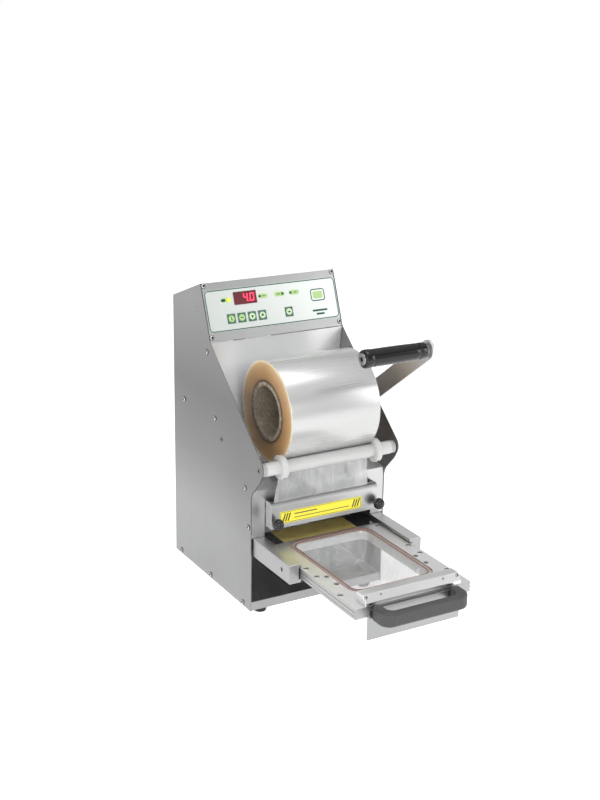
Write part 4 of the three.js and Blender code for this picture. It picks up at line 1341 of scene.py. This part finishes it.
lever = "lever_arm"
armLow, armHigh = span(lever)
# painted shade: the arm's outer face takes a darker, glossier brushed sheet than the rest
armMesh = repainted(softened(lever, 0.55), lambda normal, spot: normal.x > 0.6)
stand(lever, "finished", armMesh, ["armSteel", "skirtSheet"])


def leverGrip():
    free, held = (corner.x for corner in span("lever_grip"))
    start, end = free + 15.2, held - 13.5
    bore = 4.3
    profile = [(bore, free + 2.2), (9.4, free + 2.2), (9.6, free + 0.3), (11.4, free), (12.9, free + 1.0)]
    profile += [(13.4, free + 3.0), (13.4, free + 11.5), (12.9, free + 12.6), (12.2, free + 13.4)]
    profile += [(12.2, free + 14.4), (12.8, start)]
    for step in range(1, 13):
        share = step / 12
        swell = 12.8 + 0.35 * math.sin(math.pi * share) - 0.8 * share
        profile.append((swell, start + (end - start) * share))
    profile += [(11.4, held - 12.4), (11.4, held - 11.4), (12.1, held - 10.6), (12.0, held - 3)]
    profile += [(11.2, held - 0.6), (9.8, held), (bore, held), (bore, free + 2.2)]
    turnedPiece("lever_grip", "moulding", profile, "blackGloss", "x", 96)


def onEdge(u, v, lift):
    # a plane facing +x: u along y, v along z
    return at(lift, u, v)


def gripBolt():
    low, high = span("grip_bolt")
    centre = middle("grip_bolt")
    gripLow, gripHigh = span("lever_grip")
    inner, seat = armLow.x - 0.3, armHigh.x + 0.3
    free = low.x
    profile = [(0, free + 1.6), (3.2, free + 1.6), (3.4, free + 0.1), (7.6, free), (8.8, free + 0.5)]
    profile += [(9.0, free + 1.0), (9.0, gripLow.x + 2.1), (4, gripLow.x + 2.1)]
    profile += [(4, gripHigh.x + 0.3), (8.3, gripHigh.x + 0.3), (9.0, gripHigh.x + 0.8)]
    profile += [(9.0, inner - 0.6), (8.5, inner), (4, inner), (4, seat), (0, seat)]
    nut = slab([discOutline(centre.y, centre.z, 8.6, 6)], seat, high.x - 0.3, onEdge)
    dome = turned([(0, high.x - 0.4), (4.0, high.x - 0.4), (3.6, high.x), (0, high.x)], centre, "x", 32)
    mesh = meshOf(joined(turned(profile, centre, "x", 60), nut, dome))

    # painted shade: the faces in the bolt's socket are black
    def inSocket(normal, spot):
        return spot.x < centre.x and math.hypot(spot.y - centre.y, spot.z - centre.z) < 3.5

    stand("grip_bolt", "turned", repainted(mesh, inSocket), ["boltSteel", "inkBlack"])


def leverShaft():
    low, high = span("lever_shaft")
    centre = middle("lever_shaft")
    radius, neck, brim = 8.0, 6.0, 10.5
    profile = [(0, low.x), (radius - 0.8, low.x), (radius, low.x + 0.8), (radius, armLow.x - 0.3)]
    profile += [(neck, armLow.x - 0.3), (neck, armHigh.x + 0.5), (neck, high.x - 0.5), (neck - 0.5, high.x)]
    shaft = turned(profile + [(0, high.x)], centre, "x", 60)
    inner, outer = armHigh.x + 0.1, armHigh.x + 1.0
    ring = [(neck + 0.1, inner), (brim, inner), (brim, outer), (neck + 0.1, outer), (neck + 0.1, inner)]
    mesh = meshOf(joined(shaft, turned(ring, centre, "x", 48)))
    stand("lever_shaft", "turned", mesh, ["turnedSteel"])


leverGrip()
gripBolt()
leverShaft()
print("lever made")


# ---- head ----

springs = {"wire": 0.95, "radius": 6.35, "turns": 7.5, "resolution": 26}


def springTree():
    # a round wire wound on a spiral, standing on a given point
    inputs = {"Foot": "Vector", "Turns": "Float", "Coil Radius": "Float", "Height": "Float"}
    inputs.update({"Wire Radius": "Float", "Resolution": "Int", "Finish": "Material"})
    graph, given = geometryTree("coilSpring", inputs)
    coil = graph.node(
        "GeometryNodeCurveSpiral",
        sockets={
            "Resolution": given["Resolution"],
            "Rotations": given["Turns"],
            "Start Radius": given["Coil Radius"],
            "End Radius": given["Coil Radius"],
            "Height": given["Height"],
        },
    )
    stood = graph.node("GeometryNodeTransform", sockets={"Geometry": coil, "Translation": given["Foot"]})
    circle = {"Resolution": 10, "Radius": given["Wire Radius"]}
    section = graph.node("GeometryNodeCurvePrimitiveCircle", sockets=circle)
    tube = {"Curve": stood, "Profile Curve": section, "Fill Caps": True}
    return treeEnd(graph, graph.node("GeometryNodeCurveToMesh", sockets=tube), given["Finish"])


coilTree = springTree()


def returnSpring(word):
    node = "return_spring_" + word
    low, high = span(node)
    centre = middle(node)
    wire = springs["wire"]
    tall = high.z - low.z
    work = workObject(bpy.data.meshes.new("coil"))
    modifier = work.modifiers.new("coil", "NODES")
    modifier.node_group = coilTree
    values = {
        "Foot": at(centre.x, centre.y, low.z + wire),
        "Turns": springs["turns"],
        "Coil Radius": springs["radius"] / 1000,
        "Height": (tall - 2 * wire) / 1000,
        "Wire Radius": wire / 1000,
        "Resolution": springs["resolution"],
        "Finish": finishes["springWire"],
    }
    giveInputs(modifier, values)
    mesh = settled(work)
    mesh.shade_smooth()
    made = stand(node, "coil", mesh, ["springWire"])
    anchor = at(centre.x, centre.y, low.z)
    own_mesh(made)


def guideColumn(word):
    node = "guide_column_" + word
    low, high = span(node)
    radius = (high.x - low.x) / 2
    profile = [(0, low.z), (radius, low.z), (radius, high.z - 1.2), (radius - 1.2, high.z), (0, high.z)]
    turnedPiece(node, "ground", profile, "turnedSteel", "z", 40)


def pullPin(word):
    node = "pull_pin_" + word
    low, high = span(node)
    radius = (high.x - low.x) / 2
    profile = [(0, high.y), (radius - 0.5, high.y), (radius, high.y - 0.6), (radius, low.y), (0, low.y)]
    turnedPiece(node, "turned", profile, "darkSteel", "y", 32)
    knob = "pull_knob_" + word
    low, high = span(knob)
    ball = (high.x - low.x) / 2
    profile = [(0, low.y)]
    for step in range(1, 17):
        angle = math.radians(132) * step / 16
        profile.append((ball * math.sin(angle), low.y + ball - ball * math.cos(angle)))
    profile += [(5.4, high.y - 0.4), (5.0, high.y), (0, high.y)]
    turnedPiece(knob, "ball", profile, "knobGloss", "y", 56)


for word in ("left", "right"):
    returnSpring(word)
    guideColumn(word)
    pullPin(word)

strip = {"left": -77.0, "right": 62.5, "low": 139.6, "high": 158.2, "thickness": 0.15}


def caution():
    # a plain yellow strip with a black rule round it, slanted bars at its ends and two plain rules
    face = span("head_cover")[0].y

    def onCover(u, v, lift):
        return at(u, face - lift, v)

    left, right, low, high, thick = strip.values()
    under, over = thick - 0.01, thick + 0.04
    box = (left + 1, right - 1, low + 1, high - 1)
    bars = []
    for start in (left + 4, right - 17):
        for u in (start, start + 4.2, start + 8.4):
            bars.append([(u, low + 3.2), (u + 2.2, low + 3.2), (u + 6.2, high - 3.2), (u + 4, high - 3.2)])
    rules = [
        boxOutline(left + 24, left + 62, high - 7.2, high - 5.4),
        boxOutline(left + 24, right - 22, high - 12.6, high - 11.4),
    ]
    base = slab([roundOutline(left, right, low, high, 1.2)], 0.0, thick, onCover)
    border = roundFrame(box, 0.9, 0.6, under, over, onCover, 0.5)
    ink = joined(border, slab(bars, under, over, onCover))
    text = slab(rules, under, over, onCover)
    layers = {"": (base, "labelYellow"), "_marks": (ink, "inkBlack"), "_rules": (text, "inkGrey")}
    for ending, (shape, paint) in layers.items():
        piece("cover_strip" + ending, meshOf(shape, False), [paint], "head")


caution()
print("head made")


# ---- drawer ----

railBores = {"y": -86.3, "z": 103.3, "radius": 3.5, "deep": 5.0}


def rod(radius, start, end):
    return [(0, start), (radius, start), (radius, end), (0, end)]


def rail(word, side):
    node = "rail_" + word
    low, high = span(node)
    y, z, radius, deep = railBores.values()
    face = high.x if side > 0 else low.x
    cuts = meshOf(turned(rod(radius, face - side * deep, face + side * 2), (0, y, z), "x", 28), False)
    # painted shade: the upright faces take the darker aluminium
    mesh = repainted(softened(node, 0.45, 2, cuts), lambda normal, spot: abs(normal.z) < 0.3)
    stand(node, "machined", mesh, ["railAluminium", "railSide"])
    # painted shade: a black disc at the bore's bottom
    seat = (face - side * 1.4, y, z, across * side, radius - 0.05)
    paintedShadowRings(node + "_bore_bottom", [seat], "root", 1.0)


rail("left", -1)
rail("right", 1)

drawerHoles = {
    "screws": [(86.3, -112.5), (86.4, -142), (88.2, -207.1), (86.3, -30.0)],
    "bores": [(74.3, -148.6), (74.3, -174.5)],
    "boreRadius": 3.7,
    "boreDeep": 6.0,
    "head": 3.3,
    "sink": 1.95,
    "groove": (1.3, 1.1),
    "grooveHeights": (98.4, 104.2),
}


def mouldPlate():
    low, high = span("mould_plate")
    deep, tall = drawerHoles["groove"]
    radius, sink, size = drawerHoles["boreRadius"], drawerHoles["sink"], drawerHoles["head"]
    top = high.z
    slotsAndPaintedShadows = []
    for z in drawerHoles["grooveHeights"]:
        slotsAndPaintedShadows.append((low.x - 1, low.x + deep, low.y - 1, high.y + 1, z, z + tall))
        slotsAndPaintedShadows.append((high.x - deep, high.x + 1, low.y - 1, high.y + 1, z, z + tall))
    bores, wells = mirrored(drawerHoles["bores"]), mirrored(drawerHoles["screws"])
    tools = [boxes(slotsAndPaintedShadows)]
    for places, wide, down in ((bores, radius, drawerHoles["boreDeep"]), (wells, size * 1.24, sink)):
        for x, y in places:
            tools.append(turned(rod(wide, top - down, top + 2), (x, y, 0), "z", 24))

    # painted shade: the outer upright faces take the darker aluminium
    def onSide(normal, spot):
        return (abs(spot.x) > high.x - 3 or spot.y < low.y + 3) and abs(normal.z) < 0.3

    mesh = repainted(softened("mould_plate", 0.45, 2, meshOf(joined(*tools), False)), onSide)
    stand("mould_plate", "machined", mesh, ["aluminium", "railSide"])
    spots = [(x, y, top - sink + 0.1, upward, size) for x, y in wells]
    # painted shadows: black rings round the mould screw heads
    paintedShadowRings("mould_screw_seats", spots, "drawer")
    # painted shade: black discs at the bores' bottoms
    borePaintedShade = [(x, y, top - 1.6, upward, radius - 0.05) for x, y in bores]
    paintedShadowRings("mould_bore_bottoms", borePaintedShade, "drawer", 1.0)
    screws("mould_screws", spots, 12, "drawer")


mouldPlate()

trayForm = {"rim": 7.0, "draft": 8.0, "flutes": 46, "fluteDepth": 0.45, "wall": 0.5, "levels": 12}


def trayLoop(hx, hy, radius, steps):
    # a rounded rectangle about the middle with evenly counted points and the way out at each
    points = []
    part = steps // 8
    corners = [(hx - radius, radius - hy, -90), (hx - radius, hy - radius, 0)]
    corners += [(radius - hx, hy - radius, 90), (radius - hx, radius - hy, 180)]
    for index, (cx, cy, start) in enumerate(corners):
        for step in range(part):
            angle = math.radians(start + 90 * step / part)
            out = (math.cos(angle), math.sin(angle))
            points.append((cx + radius * out[0], cy + radius * out[1], *out))
        nextX, nextY, _ = corners[(index + 1) % 4]
        angle = math.radians(start + 90)
        out = (math.cos(angle), math.sin(angle))
        for step in range(part):
            share = step / part
            x = cx + (nextX - cx) * share + radius * out[0]
            y = cy + (nextY - cy) * share + radius * out[1]
            points.append((x, y, *out))
    return points


def foodTray():
    low, high, centre, half = sizes("food_tray")
    rim, draft, flutes, depth, wall, levels = trayForm.values()
    steps = 8 * flutes
    top, floor = high.z, low.z
    # distance in from the rim's edge, corner radius, height, how far the flutes show
    rings = [
        (0, 19.0, top - 1.4, 0),
        (0, 19.0, top - 0.5, 0),
        (0.5, 18.6, top, 0),
        (2.2, 17.4, top, 0),
        (2.8, 17.0, top - 0.35, 0),
        (rim - 1.0, 14.0, top - 0.35, 0),
        (rim, 13.2, top - 0.9, 0),
        (rim + 0.9, 12.4, top - 3.0, 0.15),
    ]
    for level in range(1, levels):
        share = level / levels
        z = top - 3.0 - (top - 3.0 - floor - 5.0) * share
        strength = math.sin(math.pi * share * 1.1) ** 0.5 if share * 1.1 < 1 else 0.0
        rings.append((rim + 1.0 + (draft - 2.0) * share, 12.0, z, strength))
    for turn in range(1, 6):
        angle = math.pi / 2 * turn / 5
        inset = rim + draft - 1.0 + 5.0 * (1 - math.cos(angle))
        rings.append((inset, 12.0, floor + 5.0 * (1 - math.sin(angle)) + 0.3, 0))
    for inset, radius, rise in ((7, 9.0, 0.3), (8, 8.6, 1.2), (20, 5.0, 1.2)):
        rings.append((rim + draft + inset, radius, floor + rise, 0))
    shape = bmesh.new()
    loops = []
    for inset, radius, z, flute in rings:
        loop = []
        for index, (x, y, ox, oy) in enumerate(trayLoop(half.x - inset, half.y - inset, radius, steps)):
            push = depth * flute * math.cos(2 * math.pi * index * flutes / steps)
            loop.append(shape.verts.new(at(centre.x + x + ox * push, centre.y + y + oy * push, z)))
        loops.append(loop)
    bridged(shape, loops)
    shape.faces.new(loops[-1])
    stand("food_tray", "formed", walled(meshOf(shape), wall), ["clearTrayPlastic"])


foodTray()

deckTape = {"left": -71.0, "right": 54.0, "thickness": 0.18}


def tapeOnDeck():
    # a strip of tan coated cloth over the deck's middle
    low, high = span("deck_plate")
    outline = roundOutline(deckTape["left"], deckTape["right"], low.y + 0.6, high.y - 1.0, 1.5)
    tape = slab([outline], high.z, high.z + deckTape["thickness"], at)
    piece("deck_tape", meshOf(tape, False), ["coatedCloth"], "drawer")


tapeOnDeck()

gasket = {"bead": 0.55, "width": 6.2, "corner": 19.7, "innerCorner": 14.5}


def mouldGasket():
    # a pale moulded band with a darker bead along both its edges
    low, high, centre, half = sizes("mould_gasket")
    bead, width, corner, innerCorner = gasket.values()

    def flat(u, v, lift):
        return at(centre.x + u, centre.y + v, lift)

    box = (-half.x, half.x, -half.y, half.y)
    band = roundFrame(box, corner, width, low.z, high.z - 0.15, flat, innerCorner, 12)
    stand("mould_gasket", "band", meshOf(band), ["siliconePale"])
    beads = []
    top = span("mould_plate")[1].z - bead * 0.3
    for inset, radius in ((-0.15, 19.8), (width - 0.6, 15.1)):
        x, y = half.x - inset, half.y - inset
        route = [flat(u, v, top) for u, v in roundOutline(-x, x, -y, y, radius, 12)]
        shape = bmesh.new()
        shape.from_mesh(swept(route, bead))
        beads.append(shape)
    piece("mould_gasket_beads", meshOf(joined(*beads)), ["siliconeRed"], "drawer")


mouldGasket()

# place across and head size of its screws, and the middles of the painted shadows where the handle's legs
# meet the bar
bar = {"screws": [(50.5, 1.7), (74.0, 2.6)], "down": 0.35, "slotsAndPaintedShadows": (-69.0, 57.0)}


def frontBar():
    low, high = span("front_bar")
    stand("front_bar", "machined", softened("front_bar", 0.7, 3), ["paleAluminium"])
    slope = Vector((0, -9, 8)).normalized()
    y = low.y + 8 * (1 - bar["down"])
    z = high.z - 9 * bar["down"]
    spots = [(x, y, z, slope, size) for x, size in mirrored(bar["screws"])]
    slotsAndPaintedShadows = []
    for x in bar["slotsAndPaintedShadows"]:
        slotsAndPaintedShadows.append((x - 3.2, x + 3.2, low.y - 0.12, low.y + 0.4, low.z + 1.4, low.z + 3.2))
    # painted shadows: black boxes on the bar's front face
    piece("bar_slots", meshOf(boxes(slotsAndPaintedShadows), False), ["inkBlack"], "drawer")
    screws("bar_screws", spots, 5, "drawer")


frontBar()

pull = {"edge": 4.4, "cap": 7.4, "capX": 48.5}


def pullHandle():
    low, high = span("pull_handle")
    mesh = softened("pull_handle", pull["edge"], 5)
    stand("pull_handle", "moulding", mesh, ["greyPlastic"])
    cap, face = pull["cap"], low.y
    profile = [(0, face + 1.4), (cap, face + 1.4), (cap, face - 0.1), (cap - 0.5, face - 0.35)]
    profile += [(cap - 1.0, face - 0.35), (cap - 1.4, face - 0.1), (0, face - 0.1)]
    z = (low.z + high.z) / 2
    caps = [turned(profile, (x, 0, z), "y", 48) for x in (-pull["capX"], pull["capX"])]
    piece("pull_handle_caps", meshOf(joined(*caps)), ["greyPlastic"], "drawer")


pullHandle()
print("drawer made")


# ---- feet, inlet and back ----

footNodes = ["foot_front_left", "foot_front_right", "foot_rear_left", "foot_rear_right"]


def baseTray():
    # painted light and shade: its front lip takes a darker sheet, its inside a paler one
    mesh = repainted(softened("base_tray", 0.3), lambda normal, spot: normal.y < -0.6 and spot.y < 2)
    stand("base_tray", "finished", mesh, ["sheetDeep", "skirtSheet"])
    nuts = []
    floor = span("base_tray")[0].z + housing["sheet"] + 0.1
    for node in footNodes:
        x, y, _ = middle(node)
        stud = [(0, floor), (2.6, floor), (2.6, floor + 6.6), (0, floor + 6.9)]
        nuts.append(slab([discOutline(x, y, 5.2, 6)], floor, floor + 4.2, at))
        nuts.append(turned(stud, (x, y, 0), "z", 20))
    piece("foot_nuts", meshOf(joined(*nuts)), ["turnedSteel"], "root")


def foot(node):
    low, high = span(node)
    radius = (high.x - low.x) / 2
    profile = [(0, low.z + 1.5), (3.0, low.z + 1.5), (3.4, low.z), (radius - 2.6, low.z)]
    profile += [(radius - 1.9, low.z + 0.6), (radius - 1.6, low.z + 3), (radius - 1.1, low.z + 3.3)]
    profile += [(radius, high.z - 1.4), (radius, high.z - 0.4), (radius - 0.4, high.z), (0, high.z)]
    turnedPiece(node, "moulding", profile, "rubber", "z", 48)


baseTray()
for node in footNodes:
    foot(node)

inlet = {"pins": ((-7.0, -2.0), (7.0, -2.0), (0.0, 2.4)), "screwX": 16.2}


def powerInlet():
    high, centre = sizes("power_inlet")[1:3]
    stand("power_inlet", "moulding", softened("power_inlet", 0.5, 3), ["blackPlastic"])
    pins = []
    for x, z in inlet["pins"]:
        cx, cz = centre.x + x, centre.z + z
        pins.append((cx - 1.0, cx + 1.0, high.y - 17, high.y - 4, cz - 2.2, cz + 2.2))
    work = workObject(meshOf(boxes(pins), False))
    rounded(work, 0.5)
    piece("inlet_blades", settled(work), ["turnedSteel"], "root")
    places = (centre.x - inlet["screwX"], centre.x + inlet["screwX"])
    screws("inlet_screws", [(x, high.y - 0.2, centre.z, -forward, 2.1) for x in places], 8)


powerInlet()

louvres = {"columns": (-34.0, 34.0), "rows": 8, "pitch": 9.0, "first": 150.0}
hood = {"length": 49.0, "proud": 2.6, "tall": 5.2, "wall": 0.8, "down": 6, "across": 14}


def louvreMesh():
    # a pressed hood: a quarter-round lip, closed at its ends, over one slot
    length, proud, tall, wall, down, columns = hood.values()
    shape = bmesh.new()
    rows = []
    for step in range(down + 1):
        angle = math.pi / 2 * step / down
        up = tall * math.cos(angle)
        row = []
        for column in range(columns + 1):
            u = -1 + 2 * column / columns
            out = proud * math.sin(angle) * math.sqrt(max(0.0, 1 - abs(u) ** 6))
            row.append(shape.verts.new((u * length / 2000, up / 1000, out / 1000)))
        rows.append(row)
    bridged(shape, rows, closed=False)
    bmesh.ops.remove_doubles(shape, verts=shape.verts, dist=1e-6)
    return walled(meshOf(shape), wall, -1)


def makeLouvres():
    lowest = topHigh.z - (housing["depth"] - topLow.y) * math.tan(panelTilt) - louvres["first"]
    spots = []
    for row in range(louvres["rows"]):
        for x in louvres["columns"]:
            spots.append((x, topHigh.y, lowest + row * louvres["pitch"], -forward, 1.0))
    copiesOn("rear_louvres", louvreMesh(), spots, "sheetAcross", "root")


makeLouvres()
print("feet, inlet and back made")
